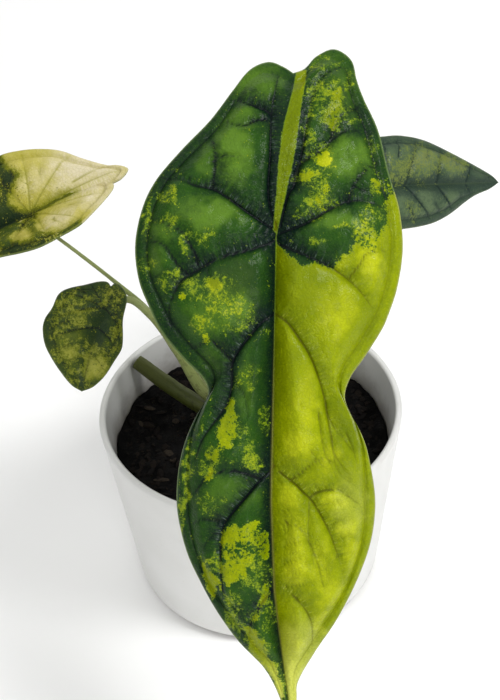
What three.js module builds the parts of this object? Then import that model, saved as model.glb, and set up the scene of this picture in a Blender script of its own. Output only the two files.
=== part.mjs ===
// Potted variegated dragon scale alocasia: a tapering pot filled with soil, a crown and its leaves.
// Units are millimetres, +Z is up, and the pot stands on z = 0 with its axis on the origin.
import * as THREE from "three";
import { mergeVertices } from "three/addons/utils/BufferGeometryUtils.js";

// Pot
const potHeight = 86;
const potRimRadius = 60;
const potBaseRadius = 51.5;
const potWall = 2.8;
const potFloor = 4.2;
const potOuterFillet = 7;
const potInnerFillet = 5;
const potSides = 64;

// Soil and crown
const soilLevel = 67;
const soilRelief = 1.1;
const soilEdgeDrop = 1.5;
const soilSides = 48;
const crownRadius = 13;
const crownFoot = 55;
const crownTop = 78;
const crownSides = 24;
const seatGap = 0.3;

// Leaves
const bladeThickness = 1.1;
const underRibDepth = 1.0;
const underRibWidth = 2.2;
const underVeinDepth = 0.6;
const marginVeinInset = 3.5;
const marginBeadRise = 0.11;
const marginGrooveDepth = 0.2;
const shortRow = 15;
const stalkSides = 10;
const stalkSteps = 14;

const clamp01 = (value) => Math.min(1, Math.max(0, value));
const mix = (a, b, share) => a + (b - a) * share;
const bell = (distance, width) => Math.exp(-((distance / width) ** 2));

function smoothRamp(value) {
  const t = clamp01(value);
  return t * t * (3 - 2 * t);
}

// Shares the vertices, drops flat triangles and turns the faces outward.
function closedBody(source) {
  source.deleteAttribute("normal");
  source.deleteAttribute("uv");
  const merged = mergeVertices(source, 1e-4);
  const place = merged.getAttribute("position");
  const corner = merged.getIndex().array;
  const [a, b, c] = [new THREE.Vector3(), new THREE.Vector3(), new THREE.Vector3()];
  const kept = [];
  let volume = 0;
  for (let i = 0; i < corner.length; i += 3) {
    const [p, q, r] = [corner[i], corner[i + 1], corner[i + 2]];
    if (p === q || q === r || r === p) continue;
    a.fromBufferAttribute(place, p);
    b.fromBufferAttribute(place, q);
    c.fromBufferAttribute(place, r);
    volume += a.dot(b.cross(c));
    kept.push([p, q, r]);
  }
  const outward = volume < 0 ? kept.map(([p, q, r]) => [p, r, q]) : kept;
  merged.setIndex(outward.flat());
  merged.computeVertexNormals();
  return merged;
}

function standUp(profile, sides) {
  const turned = new THREE.LatheGeometry(profile, sides);
  turned.rotateX(Math.PI / 2);
  return turned;
}

// Points of an arc in the radius and height plane, from one angle to another in degrees.
function arcPoints(centreRadius, centreHeight, radius, fromDegrees, toDegrees, steps) {
  const points = [];
  for (let i = 0; i <= steps; i += 1) {
    const angle = THREE.MathUtils.degToRad(mix(fromDegrees, toDegrees, i / steps));
    const across = centreRadius + radius * Math.cos(angle);
    const up = centreHeight + radius * Math.sin(angle);
    points.push(new THREE.Vector2(across, up));
  }
  return points;
}

const outerRadiusAt = (z) => mix(potBaseRadius, potRimRadius, z / potHeight);
const innerRadiusAt = (z) => outerRadiusAt(z) - potWall;

// Pot: one wall of even thickness with a rounded lip and a flat, closed base
function potGeometry() {
  const lip = potWall / 2;
  const footRadius = outerRadiusAt(potOuterFillet) - potOuterFillet;
  const cornerHeight = potFloor + potInnerFillet;
  const cornerRadius = innerRadiusAt(cornerHeight) - potInnerFillet;
  const profile = [
    new THREE.Vector2(0, 0),
    ...arcPoints(footRadius, potOuterFillet, potOuterFillet, -90, 0, 4),
    ...arcPoints(potRimRadius - lip, potHeight - lip, lip, 0, 180, 4),
    ...arcPoints(cornerRadius, cornerHeight, potInnerFillet, 0, -90, 3),
    new THREE.Vector2(0, potFloor),
  ];
  return closedBody(standUp(profile, potSides));
}

// Soil: fills the pot to its level, with a plain hole where the crown stands
function soilGeometry() {
  const holeRadius = crownRadius + seatGap;
  const holeFloor = crownFoot - seatGap;
  const bottom = potFloor + seatGap;
  const cornerHeight = potFloor + potInnerFillet;
  const cornerRadius = innerRadiusAt(cornerHeight) - potInnerFillet;
  const wallGap = 1.4 * seatGap;
  const edgeRadius = innerRadiusAt(soilLevel) - wallGap;
  const ringShares = [0.9, 0.72, 0.54, 0.36, 0.18];
  const profile = [
    new THREE.Vector2(0, bottom),
    ...arcPoints(cornerRadius, cornerHeight, potInnerFillet - wallGap, -90, 0, 3),
    new THREE.Vector2(edgeRadius, soilLevel - soilEdgeDrop),
    ...ringShares.map((share) => new THREE.Vector2(mix(holeRadius, edgeRadius, share), soilLevel)),
    new THREE.Vector2(holeRadius, soilLevel),
    new THREE.Vector2(holeRadius, holeFloor),
    new THREE.Vector2(0, holeFloor),
  ];
  const body = standUp(profile, soilSides);
  const place = body.getAttribute("position");
  for (let i = 0; i < place.count; i += 1) {
    const [x, y, z] = [place.getX(i), place.getY(i), place.getZ(i)];
    const inward = Math.hypot(x, y) < holeRadius + 0.01 || z < soilLevel - 0.5;
    const lumps = Math.sin(0.21 * x + 1.3) * Math.cos(0.17 * y - 0.4) + 0.5 * Math.sin(0.41 * x - 0.37 * y);
    place.setZ(i, inward ? z : z + soilRelief * lumps);
  }
  return closedBody(body);
}

// Crown: the short rootstock, with a flat top that the leaf stalks stand on
function crownGeometry() {
  const profile = [
    new THREE.Vector2(0, crownFoot),
    new THREE.Vector2(crownRadius - 1.5, crownFoot),
    new THREE.Vector2(crownRadius, crownFoot + 1.5),
    new THREE.Vector2(crownRadius, crownTop - 2.5),
    new THREE.Vector2(crownRadius - 0.7, crownTop - 0.9),
    new THREE.Vector2(crownRadius - 2.2, crownTop),
    new THREE.Vector2(0, crownTop),
  ];
  return closedBody(standUp(profile, crownSides));
}

// Each leaf has its own frame at the seat of its stalk: y runs toward the two lobes, the tip is
// at the far end of -y, and z stands on the upper face. A half lists its outline from the notch
// between the lobes to the tip, then one entry for each vein: where on the outline the vein
// points, how far its middle bows aside, and the share of its length where it starts to show.
const leaves = [
  {
    name: "blade_front",
    seat: [11.0, -61.1, 209.0],
    lobesToward: [0.0576, 0.6417, 0.7648],
    facing: [0, -0.766, 0.6428],
    archTip: 0.001,
    archLobes: 0.003,
    fold: 0,
    ribRise: 3.5,
    droop: 3,
    halfWidth: 38,
    puff: 3,
    midline: [
      [5, 48], [3.5, 33.5], [2, 18], [0, 0], [-0.5, -20], [-1, -49], [-1.5, -79],
      [-0.5, -106.5], [1, -119.5], [2.5, -131], [4, -142], [4.6, -154],
    ],
    veinRoots: [0, 0, 0, 0, 0, 0, -24, -70, -73, -106, -128, -154],
    rowsBetween: [3, 4, 4, 3, 4, 8, 5, 5, 4, 3, 4],
    columns: 10,
    left: {
      outline: [
        [5, 48], [2, 50], [-2.5, 51.5], [-8, 49], [-13, 42.5], [-19.5, 33.5], [-28, 24.5],
        [-35.5, 15.5], [-39.5, 7], [-41.5, -3.5], [-40.5, -13.5], [-37.5, -21.5], [-33.7, -29.2],
        [-27.3, -36.9], [-23.7, -40.4], [-21.2, -43.2], [-20.1, -46.3], [-20.9, -49.2],
        [-24.4, -55.2], [-27.5, -63], [-29.3, -72], [-29.5, -82.5], [-27, -94.5], [-23, -104],
        [-18, -113.5], [-11.5, -123], [-3, -132.5], [1.5, -142], [3.6, -150], [4.6, -154],
      ],
      veinEnds: [0, 1.7, 5, 6.9, 9, 11.3, 18.8, 20.8, 23.6, 25.2, 26.4, 29],
      veinBows: [
        [0, 0], [-3, 0], [0, 0], [-1, 5], [0, 0], [0, 7], [1, 1], [0, 9], [-9, 8], [-3, 2], [0, 0],
        [0, 0],
      ],
      veinStarts: [1, 0, 0.7, 0, 0.6, 0, 0, 0, 0, 0, 1, 1],
    },
    right: {
      outline: [
        [5, 48], [8.5, 49.5], [12, 53.5], [17.5, 56], [22.5, 52.5], [24, 46], [26, 40], [30, 30.5],
        [33, 17.5], [36, 7], [37, -4.5], [35.5, -15.5], [33, -23.5], [30.8, -28.5], [25.9, -36.3],
        [21.8, -42.2], [20.1, -48], [21.9, -53.2], [25.3, -59.5], [27.5, -66.4], [29.5, -79],
        [28.5, -91.5], [24.5, -104], [18.5, -116.5], [12.5, -126], [7, -136], [6.5, -142],
        [6, -150], [4.6, -154],
      ],
      veinEnds: [0, 3.6, 7, 9, 10.2, 12.6, 19, 20.2, 22.5, 24.1, 24.9, 28],
      veinBows: [
        [0, 0], [-5, 2], [-8, 10], [0, 8], [0, 0], [1, 4], [-1, 2], [0, 2], [9, 8], [6, 6], [0, 0],
        [0, 0],
      ],
      veinStarts: [1, 0, 0.4, 0, 0.65, 0, 0, 0, 0, 0, 1, 1],
    },
  },
  {
    name: "blade_left",
    seat: [-79.7, 36.0, 156.7],
    lobesToward: [0.942, 0.125, 0.31],
    facing: [-0.251, -0.351, 0.902],
    archTip: 0.003,
    archLobes: 0.002,
    fold: 0.45,
    ribRise: 1.2,
    droop: 1,
    halfWidth: 24,
    puff: 1.6,
    midline: [[-0.9, 33.8], [-0.5, 15], [0, 0], [0.5, -30], [0.5, -60], [0, -88]],
    veinRoots: [0, 0, 0, 0, 0, -14, -36, -58, -88],
    rowsBetween: [3, 3, 3, 3, 4, 3, 3, 5],
    columns: 7,
    left: {
      outline: [
        [-0.9, 33.8], [-1.6, 37.5], [-4.2, 41], [-6.5, 38.2], [-8, 33.7], [-13.4, 25.7], [-18.3, 19.5],
        [-21.5, 12.5], [-23.7, 5], [-24.9, -3.1], [-23.8, -11.5], [-20.5, -20], [-17.5, -27],
        [-17.2, -34], [-18.5, -43], [-17.5, -52], [-13.5, -62], [-8.2, -72], [-3, -80.5], [0, -88],
      ],
      veinEnds: [0, 2, 5.5, 8, 10, 14, 15.3, 16.6, 19],
      veinBows: [[0, 0], [-1, 1], [-1, 2], [0, 3], [0, 2], [0, 1], [-2, 3], [-2, 2], [0, 0]],
      veinStarts: [1, 0, 0.5, 0, 0, 0, 0, 0, 1],
    },
    right: {
      outline: [
        [-0.9, 33.8], [1.2, 34], [3.6, 33.4], [6.4, 31.8], [10.5, 28.8], [16.1, 24], [20.4, 19.5],
        [22.6, 13], [24.3, 4], [22.6, -4], [19.3, -12.2], [17.2, -20], [16.5, -27], [17, -35],
        [18, -44], [16.5, -54], [12.5, -64], [7.5, -73], [3, -81], [0, -88],
      ],
      veinEnds: [0, 2.5, 5.5, 7.6, 9.6, 14, 15.3, 16.6, 19],
      veinBows: [[0, 0], [1, 1], [1, 2], [0, 3], [0, 2], [0, 1], [2, 3], [2, 2], [0, 0]],
      veinStarts: [1, 0, 0.5, 0, 0, 0, 0, 0, 1],
    },
  },
  {
    name: "blade_low_left",
    seat: [-52.6, 5.9, 133.2],
    lobesToward: [0.284, 0.78, 0.558],
    facing: [0.07, -0.597, 0.799],
    archTip: 0.004,
    archLobes: 0.01,
    fold: 0,
    ribRise: 1.3,
    droop: 2,
    halfWidth: 18,
    puff: 1.2,
    midline: [[0.2, 9], [0, 0], [-0.5, -15], [-0.3, -32]],
    veinRoots: [0, 0, 0, 0, -8, -18, -32],
    rowsBetween: [3, 3, 3, 4, 4, 5],
    columns: 7,
    left: {
      outline: [
        [0.2, 9], [-1.6, 10.4], [-4.6, 9.9], [-9.6, 7.3], [-14.8, 4.9], [-18, 1.8], [-19, -4],
        [-20.5, -8.6], [-20.2, -13], [-17.5, -18.8], [-11.6, -25], [-5, -30.2], [-0.3, -32],
      ],
      veinEnds: [0, 2.6, 5, 7.4, 8.8, 10.1, 12],
      veinBows: [[0, 0], [-1, 1], [-1, 2], [0, 2], [-1, 2], [-1, 1], [0, 0]],
      veinStarts: [1, 0, 0, 0, 0, 0, 1],
    },
    right: {
      outline: [
        [0.2, 9], [1.6, 10.8], [4.6, 9.6], [7.2, 5.8], [7.8, -2.2], [9.5, -8.6], [10.1, -13.2],
        [8.6, -18.4], [6.5, -24.6], [3.3, -29.4], [-0.3, -32],
      ],
      veinEnds: [0, 2, 3.4, 5, 6.4, 7.9, 10],
      veinBows: [[0, 0], [0, 1], [0, 1], [0, 2], [1, 1], [1, 1], [0, 0]],
      veinStarts: [1, 0, 0, 0, 0, 0, 1],
    },
  },
  {
    name: "blade_right",
    seat: [58.5, 56.6, 147.0],
    lobesToward: [-0.864, -0.415, 0.287],
    facing: [0.501, -0.645, 0.577],
    archTip: 0.001,
    archLobes: 0.003,
    fold: 0,
    ribRise: 2,
    droop: 2,
    halfWidth: 20,
    puff: 1.6,
    midline: [[0, 19], [0, 0], [0.3, -20], [0.5, -42], [0.8, -64.5]],
    veinRoots: [0, 0, 0, 0, 0, -10, -27, -44, -64.5],
    rowsBetween: [3, 3, 3, 3, 4, 3, 3, 5],
    columns: 7,
    left: {
      outline: [
        [0, 19], [-1.8, 22.6], [-5, 24.5], [-9, 23], [-13.5, 17], [-16.5, 9], [-17.5, 0], [-17, -8],
        [-16.3, -17.4], [-14.9, -25.7], [-11.9, -34.2], [-7.2, -43.2], [-4.4, -49.4], [-1.8, -58.7],
        [0.8, -64.5],
      ],
      veinEnds: [0, 2.4, 4, 5.3, 6.8, 8.8, 10.2, 11.7, 14],
      veinBows: [[0, 0], [-1, 1], [-1, 2], [0, 3], [0, 2], [0, 2], [-2, 2], [-1, 1], [0, 0]],
      veinStarts: [1, 0, 0.5, 0, 0, 0, 0, 0, 1],
    },
    right: {
      outline: [
        [0, 19], [2, 22.4], [5.4, 25], [10, 24.5], [15, 18.5], [18.5, 11], [20, 3], [20.7, -4.9],
        [21, -12.6], [19.6, -23], [16.2, -33.2], [9.3, -49], [4, -60.6], [0.8, -64.5],
      ],
      veinEnds: [0, 2.4, 4, 5.3, 6.8, 8.8, 10, 11, 13],
      veinBows: [[0, 0], [1, 1], [1, 2], [0, 3], [0, 2], [0, 2], [2, 2], [1, 1], [0, 0]],
      veinStarts: [1, 0, 0.5, 0, 0, 0, 0, 0, 1],
    },
  },
];

// Where the midline lies across the leaf at a distance along it
function midlineAcross(midline, y) {
  for (let i = 1; i < midline.length; i += 1) {
    const [[fromX, fromY], [toX, toY]] = [midline[i - 1], midline[i]];
    if (y >= toY) return mix(fromX, toX, clamp01((fromY - y) / (fromY - toY)));
  }
  return midline[midline.length - 1][0];
}

// A row of the blade runs from the midrib to the margin along a vein, or between two of them.
// Its number is whole on a vein, and the shares in between count the rows from one to the next.
function rowOf(leaf, half, number) {
  const first = Math.min(Math.floor(number), leaf.veinRoots.length - 2);
  const share = number - first;
  const between = (list) => mix(list[first], list[first + 1], share);
  const rootY = between(leaf.veinRoots);
  const root = new THREE.Vector2(midlineAcross(leaf.midline, rootY), rootY);
  const edge = half.curve.getPoint(between(half.veinEnds) / (half.outline.length - 1));
  const [bowFrom, bowTo] = [half.veinBows[first], half.veinBows[first + 1]];
  const middle = new THREE.Vector2(mix(bowFrom[0], bowTo[0], share), mix(bowFrom[1], bowTo[1], share));
  middle.addScaledVector(root, 0.5);
  middle.addScaledVector(edge, 0.5);
  const path = new THREE.QuadraticBezierCurve(root, middle, edge);
  return { number, path, length: root.distanceTo(edge) };
}

// Depth of the nearest vein's valley, from 0 between veins to 1 on one
function valleyAt(half, number, along) {
  const nearest = Math.round(number);
  const start = half.veinStarts[nearest];
  const shown = start > 0 ? smoothRamp((along - start) / 0.15) : 1;
  return shown * Math.max(0, 1 - 2 * Math.abs(number - nearest)) ** 1.5;
}

// The marginal vein runs this far inside the margin.
const marginInset = (rowLength) => Math.max(1e-6, Math.min(marginVeinInset, 0.3 * rowLength));

// How far from the midrib a leaf rises, from where it puffs up, and over what width the puff
// falls off toward the margin: all in shares of the leaf's half width
const ribValleyShare = 0.13;
const puffStartShare = 0.42;
const puffEndShare = 0.17;

// Rows shorter than this lose their relief, so that it fades out toward the notch and the tip.
const rowSize = (row) => Math.min(1, row.length / shortRow);

// Upper face: arched along the leaf, rising from a sunken midrib, puffed up between the veins
// and drooping to a margin with a fine groove just inside it
function upperHeight(leaf, half, row, along, point) {
  const size = rowSize(row);
  const fromRib = along * row.length;
  const fromEdge = (1 - along) * row.length;
  const across = Math.abs(point.x - midlineAcross(leaf.midline, point.y));
  const arch = -(point.y > 0 ? leaf.archLobes : leaf.archTip) * point.y ** 2;
  const rise = leaf.ribRise * size * (1 - Math.exp(-fromRib / (ribValleyShare * leaf.halfWidth)));
  const droop = leaf.droop * Math.min(1, Math.abs(point.x) / leaf.halfWidth);
  const fall = (leaf.ribRise + droop) * size * along ** 3;
  const pillow = 1 - valleyAt(half, row.number, along);
  const clearOfRib = smoothRamp(fromRib / (puffStartShare * leaf.halfWidth));
  const inset = marginInset(row.length);
  const clearOfEdge = smoothRamp((fromEdge - inset) / (puffEndShare * leaf.halfWidth));
  const puff = leaf.puff * size * pillow * clearOfRib * clearOfEdge;
  const groove = bell(fromEdge - inset, inset / 3);
  const bead = bell(fromEdge - inset / 2, inset / 4);
  const marginRelief = along ** 2 * inset * (marginBeadRise * bead - marginGrooveDepth * groove);
  return arch + leaf.fold * across + rise - fall + puff + marginRelief;
}

// Lower face: the same shape, one thickness down, with the ribs standing out below
function thicknessAt(leaf, half, row, along, point) {
  const size = rowSize(row);
  const fromRib = along * row.length;
  const fromTip = point.y - leaf.midline[leaf.midline.length - 1][1];
  const rib = underRibDepth * clamp01(fromTip / leaf.halfWidth) * bell(fromRib, underRibWidth);
  const clearOfRib = smoothRamp(fromRib / (2 * underRibWidth));
  const vein = underVeinDepth * size * valleyAt(half, row.number, along) * clearOfRib;
  return bladeThickness + rib + vein * (1 - along);
}

function columnShares(leaf, length) {
  const inset = marginInset(length) / Math.max(length, 3e-6);
  const inner = leaf.columns - 2;
  const shares = [];
  for (let i = 0; i <= inner; i += 1) shares.push((1 - inset) * (i / inner) ** 1.3);
  shares.push(1 - inset / 2, 1);
  return shares;
}

// The upper and lower faces of one half as rows of points, split alike into triangles
function addHalf(corners, leaf, half, turn) {
  const rows = [];
  const rowCount = leaf.rowsBetween.length;
  for (let vein = 0; vein < rowCount; vein += 1) {
    const steps = leaf.rowsBetween[vein];
    const last = vein === rowCount - 1 ? steps : steps - 1;
    for (let step = 0; step <= last; step += 1) rows.push(rowOf(leaf, half, vein + step / steps));
  }
  const faces = rows.map((row) => columnShares(leaf, row.length).map((along) => {
    const point = row.path.getPoint(along);
    const top = upperHeight(leaf, half, row, along, point);
    const under = top - thicknessAt(leaf, half, row, along, point);
    return [new THREE.Vector3(point.x, point.y, top), new THREE.Vector3(point.x, point.y, under)];
  }));
  const addQuad = (a, b, c, d) => corners.push(...(turn > 0 ? [a, b, c, a, c, d] : [a, c, b, a, d, c]));
  for (let i = 1; i < faces.length; i += 1) {
    for (let j = 1; j <= leaf.columns; j += 1) {
      const [a, b, c, d] = [faces[i - 1][j - 1], faces[i][j - 1], faces[i][j], faces[i - 1][j]];
      addQuad(a[0], b[0], c[0], d[0]);
      addQuad(a[1], d[1], c[1], b[1]);
    }
    const [near, far] = [faces[i - 1][leaf.columns], faces[i][leaf.columns]];
    addQuad(near[0], far[0], far[1], near[1]);
  }
}

function bladeGeometry(leaf) {
  const corners = [];
  for (const [half, turn] of [[leaf.left, -1], [leaf.right, 1]]) {
    half.curve = new THREE.SplineCurve(half.outline.map(([x, y]) => new THREE.Vector2(x, y)));
    addHalf(corners, leaf, half, turn);
  }
  return closedBody(new THREE.BufferGeometry().setFromPoints(corners));
}

function leafFrame(leaf) {
  const facing = new THREE.Vector3(...leaf.facing);
  const across = new THREE.Vector3(...leaf.lobesToward).cross(facing).normalize();
  facing.normalize();
  const lobes = new THREE.Vector3().crossVectors(facing, across);
  return new THREE.Matrix4().makeBasis(across, lobes, facing).setPosition(...leaf.seat);
}

// A point below the stalk's seat on a leaf's lower face
function belowSeat(leafName, distance) {
  const leaf = leaves.find((one) => one.name === leafName);
  return new THREE.Vector3(0, 0, -distance).applyMatrix4(leafFrame(leaf));
}

const stalkEnd = bladeThickness + underRibDepth + seatGap;
const stalkTurn = stalkEnd + 4;
const stalkFoot = crownTop + seatGap;

// A stalk is thick where it sheathes the crown and turns up square to the blade it carries.
const stalks = [
  {
    name: "petiole_front",
    leaf: "blade_front",
    radii: [4.0, 2.9, 2.4, 2.1],
    path: [[2, -6.3, stalkFoot], [2, -6.3, 86], [3, -11, 112], [5, -23, 146], [8, -40, 179]],
  },
  {
    name: "petiole_left",
    leaf: "blade_left",
    radii: [3.4, 1.7, 0.8, 0.65],
    path: [
      [-1.2, 6.8, stalkFoot], [-1.2, 6.8, 81.5], [-7, 8.6, 84.5], [-19.8, 13, 88], [-28.5, 19.3, 99.5],
      [-37.6, 25.3, 114.4], [-48.7, 28.1, 127], [-69.6, 33, 146.9],
    ],
  },
  {
    name: "petiole_low_left",
    leaf: "blade_low_left",
    radii: [3.4, 2.3, 1.5, 1.2],
    path: [
      [-6.8, -0.6, stalkFoot], [-6.8, -0.6, 82], [-11, -0.1, 86.5], [-18.6, 1.8, 93.4],
      [-26.8, 8.2, 108.2], [-36.2, 14.3, 121.4], [-43.8, 16.8, 128], [-50, 14.8, 128.4],
    ],
  },
  {
    name: "petiole_right",
    leaf: "blade_right",
    radii: [3.6, 2.4, 1.7, 1.3],
    path: [[6.8, 2.2, stalkFoot], [6.8, 2.2, 84], [20, 26, 99], [33, 46, 115], [46, 60, 131]],
  },
];

// The old stalk leaves the crown's side and leans on the inside of the pot's wall.
const oldStalk = {
  name: "old_petiole",
  radii: [3.4, 3.4, 3.3, 3.1],
  path: [[-11.6, 7.6, 72.8], [-18, 11.8, 73.4], [-30, 19.9, 77.2], [-46.1, 30.6, 85]],
};

// A stalk's radii are given at its foot, one third and two thirds up, and at its top.
function stalkRadius(radii, along) {
  const first = Math.min(Math.floor(3 * along), 2);
  return mix(radii[first], radii[first + 1], 3 * along - first);
}

function stalkGeometry(path, radii) {
  const curve = new THREE.CatmullRomCurve3(path, false, "centripetal");
  const { normals, binormals } = curve.computeFrenetFrames(stalkSteps, false);
  const rings = normals.map((normal, i) => {
    const along = i / stalkSteps;
    const centre = curve.getPointAt(along);
    const radius = stalkRadius(radii, along);
    return Array.from({ length: stalkSides }, (unused, side) => {
      const angle = 2 * Math.PI * side / stalkSides;
      const spoke = normal.clone().multiplyScalar(radius * Math.cos(angle));
      return spoke.addScaledVector(binormals[i], radius * Math.sin(angle)).add(centre);
    });
  });
  const corners = [];
  for (let side = 0; side < stalkSides; side += 1) {
    const next = (side + 1) % stalkSides;
    for (let i = 0; i < stalkSteps; i += 1) {
      const [a, b, c, d] = [rings[i][side], rings[i][next], rings[i + 1][next], rings[i + 1][side]];
      corners.push(a, b, c, a, c, d);
    }
    corners.push(path[0], rings[0][next], rings[0][side]);
    corners.push(path[path.length - 1], rings[stalkSteps][side], rings[stalkSteps][next]);
  }
  return closedBody(new THREE.BufferGeometry().setFromPoints(corners));
}

const finishes = {
  whiteCeramic: new THREE.MeshStandardMaterial({ color: "#cfcfca", roughness: 0.35, metalness: 0 }),
  darkSoil: new THREE.MeshStandardMaterial({ color: "#17130f", roughness: 0.95, metalness: 0 }),
  brownCrown: new THREE.MeshStandardMaterial({ color: "#5a5330", roughness: 0.8, metalness: 0 }),
  oliveStalk: new THREE.MeshStandardMaterial({ color: "#76833f", roughness: 0.5, metalness: 0 }),
  greenLeaf: new THREE.MeshStandardMaterial({ color: "#4d7a26", roughness: 0.4, metalness: 0 }),
  creamLeaf: new THREE.MeshStandardMaterial({ color: "#a9a45a", roughness: 0.45, metalness: 0 }),
};

const plant = new THREE.Group();

function addPiece(name, geometry, finish) {
  const piece = new THREE.Mesh(geometry, finish);
  piece.name = name;
  plant.add(piece);
  return piece;
}

addPiece("pot", potGeometry(), finishes.whiteCeramic);
addPiece("soil", soilGeometry(), finishes.darkSoil);
addPiece("crown", crownGeometry(), finishes.brownCrown);
for (const leaf of leaves) {
  const finish = leaf.name === "blade_left" ? finishes.creamLeaf : finishes.greenLeaf;
  const blade = addPiece(leaf.name, bladeGeometry(leaf), finish);
  leafFrame(leaf).decompose(blade.position, blade.quaternion, blade.scale);
}
for (const stalk of stalks) {
  const path = stalk.path.map((point) => new THREE.Vector3(...point));
  path.push(belowSeat(stalk.leaf, stalkTurn), belowSeat(stalk.leaf, stalkEnd));
  addPiece(stalk.name, stalkGeometry(path, stalk.radii), finishes.oliveStalk);
}
const oldPath = oldStalk.path.map((point) => new THREE.Vector3(...point));
addPiece(oldStalk.name, stalkGeometry(oldPath, oldStalk.radii), finishes.oliveStalk);

export default plant;
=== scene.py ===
import math

import bpy
import numpy as np
from mathutils import Matrix, Vector


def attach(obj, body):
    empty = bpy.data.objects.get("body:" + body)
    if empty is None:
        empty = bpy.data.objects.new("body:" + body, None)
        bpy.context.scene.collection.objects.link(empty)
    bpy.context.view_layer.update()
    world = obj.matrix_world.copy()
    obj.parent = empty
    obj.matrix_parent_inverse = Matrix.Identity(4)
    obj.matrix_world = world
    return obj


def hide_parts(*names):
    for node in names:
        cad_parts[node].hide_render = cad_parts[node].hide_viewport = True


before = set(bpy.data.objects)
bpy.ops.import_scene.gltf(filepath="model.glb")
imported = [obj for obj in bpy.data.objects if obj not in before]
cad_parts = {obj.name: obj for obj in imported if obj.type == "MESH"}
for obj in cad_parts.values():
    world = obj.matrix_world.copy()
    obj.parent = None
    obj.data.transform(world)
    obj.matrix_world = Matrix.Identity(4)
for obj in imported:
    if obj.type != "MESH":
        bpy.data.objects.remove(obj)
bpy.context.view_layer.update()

mm = 0.001
print("frame loaded")

# Camera

view = {
    "place": (1.2, -351.0, 408.0),  # mm
    "lookDown": 40.0,  # degrees below level
    "roll": 3.3,
    "lens": 61.71,  # mm
}

cameraData = bpy.data.cameras.new("camera")
cameraData.lens = view["lens"]
cameraData.clip_start = 0.01
cameraData.clip_end = 20.0
camera = bpy.data.objects.new("camera", cameraData)
camera.matrix_world = (
    Matrix.Translation(Vector(view["place"]) * mm)
    @ Matrix.Rotation(math.radians(90 - view["lookDown"]), 4, "X")
    @ Matrix.Rotation(math.radians(-view["roll"]), 4, "Z")
)
bpy.context.collection.objects.link(camera)
bpy.context.scene.camera = camera
print("camera set")


# Small helpers

def mixOf(a, b, share):
    return a + (b - a) * share


def clamp01(value):
    return np.clip(value, 0.0, 1.0)


def smoothRamp(value):
    t = clamp01(value)
    return t * t * (3 - 2 * t)


def bell(gap, width):
    return np.exp(-((gap / width) ** 2))


def tint(red, green, blue):  # a colour as a paint chart gives it, 0 to 255
    parts = [part / 255 for part in (red, green, blue)]
    return [p / 12.92 if p <= 0.04045 else ((p + 0.055) / 1.055) ** 2.4 for p in parts] + [1.0]


def paintsOf(look):  # the same look, with its colours (red, green, blue) ready for the shader
    return {key: tint(*value) if isinstance(value, tuple) else value for key, value in look.items()}


def inSpace(places):  # points of a plane, with a height of 0
    return np.column_stack([places, np.zeros(len(places))])


class Bench:
    # a material's node tree, built one call at a time

    def __init__(self, name, **settings):
        self.material = bpy.data.materials.new(name)
        self.material.use_nodes = True
        self.tree = self.material.node_tree
        self.shader = self.tree.nodes["Principled BSDF"]
        for key, value in settings.items():
            self.shader.inputs[key.replace("_", " ")].default_value = value

    def plug(self, socket, value):
        if isinstance(value, bpy.types.NodeSocket):
            self.tree.links.new(value, socket)
        else:
            socket.default_value = value

    def add(self, kind, inputs=(), **settings):
        node = self.tree.nodes.new(kind)
        row, column = divmod(len(self.tree.nodes), 9)
        node.location = (-220 * column - 260, 260 * row - 600)
        for key, value in settings.items():
            setattr(node, key, value)
        for key, value in dict(inputs).items():
            self.plug(node.inputs[key], value)
        return node

    def calc(self, operation, a, b):
        return self.add("ShaderNodeMath", {0: a, 1: b}, operation=operation).outputs[0]

    def plus(self, first, *others):
        for other in others:
            first = self.calc("ADD", first, other)
        return first

    def times(self, a, b):
        return self.calc("MULTIPLY", a, b)

    def most(self, a, b):
        return self.calc("MAXIMUM", a, b)

    def centred(self, value):  # noise around zero
        return self.calc("SUBTRACT", value, 0.5)

    def blend(self, share, first, second):
        return self.add("ShaderNodeMix", {0: share, 6: first, 7: second}, data_type="RGBA").outputs[2]

    def paint(self, base, *layers):  # each layer is (share, colour), over what is there
        for share, colour in layers:
            base = self.blend(share, base, colour)
        return base

    def between(self, value, low, high, toLow=0.0, toHigh=1.0):
        sockets = {0: value, 1: low, 2: high, 3: toLow, 4: toHigh}
        return self.add("ShaderNodeMapRange", sockets, interpolation_type="SMOOTHSTEP").outputs[0]

    def join(self, x=0.0, y=0.0, z=0.0):
        return self.add("ShaderNodeCombineXYZ", {0: x, 1: y, 2: z}).outputs[0]

    def heightOf(self, place):
        return self.add("ShaderNodeSeparateXYZ", {0: place}).outputs[2]

    def value(self, name):
        return self.add("ShaderNodeAttribute", attribute_name=name).outputs["Fac"]

    def place(self, name):
        return self.add("ShaderNodeAttribute", attribute_name=name).outputs["Vector"]

    def objectPlace(self):
        return self.add("ShaderNodeTexCoord").outputs["Object"]

    def noise(self, place, scale, detail, roughness, distortion=0.0, shift=0.0):
        if shift:
            place = self.add("ShaderNodeVectorMath", {0: place, 1: (shift, shift, shift)}).outputs[0]
        sockets = {
            "Vector": place, "Scale": scale, "Detail": detail,
            "Roughness": roughness, "Distortion": distortion,
        }
        return self.add("ShaderNodeTexNoise", sockets).outputs["Fac"]

    def cells(self, place, scale, feature="F1"):
        sockets = {"Vector": place, "Scale": scale}
        return self.add("ShaderNodeTexVoronoi", sockets, feature=feature).outputs["Distance"]

    def bump(self, height, strength, distance):
        sockets = {"Height": height, "Strength": strength, "Distance": distance}
        return self.add("ShaderNodeBump", sockets).outputs[0]

    def finish(self, **sockets):
        for key, value in sockets.items():
            self.plug(self.shader.inputs[key.replace("_", " ")], value)
        return self.material


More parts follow.
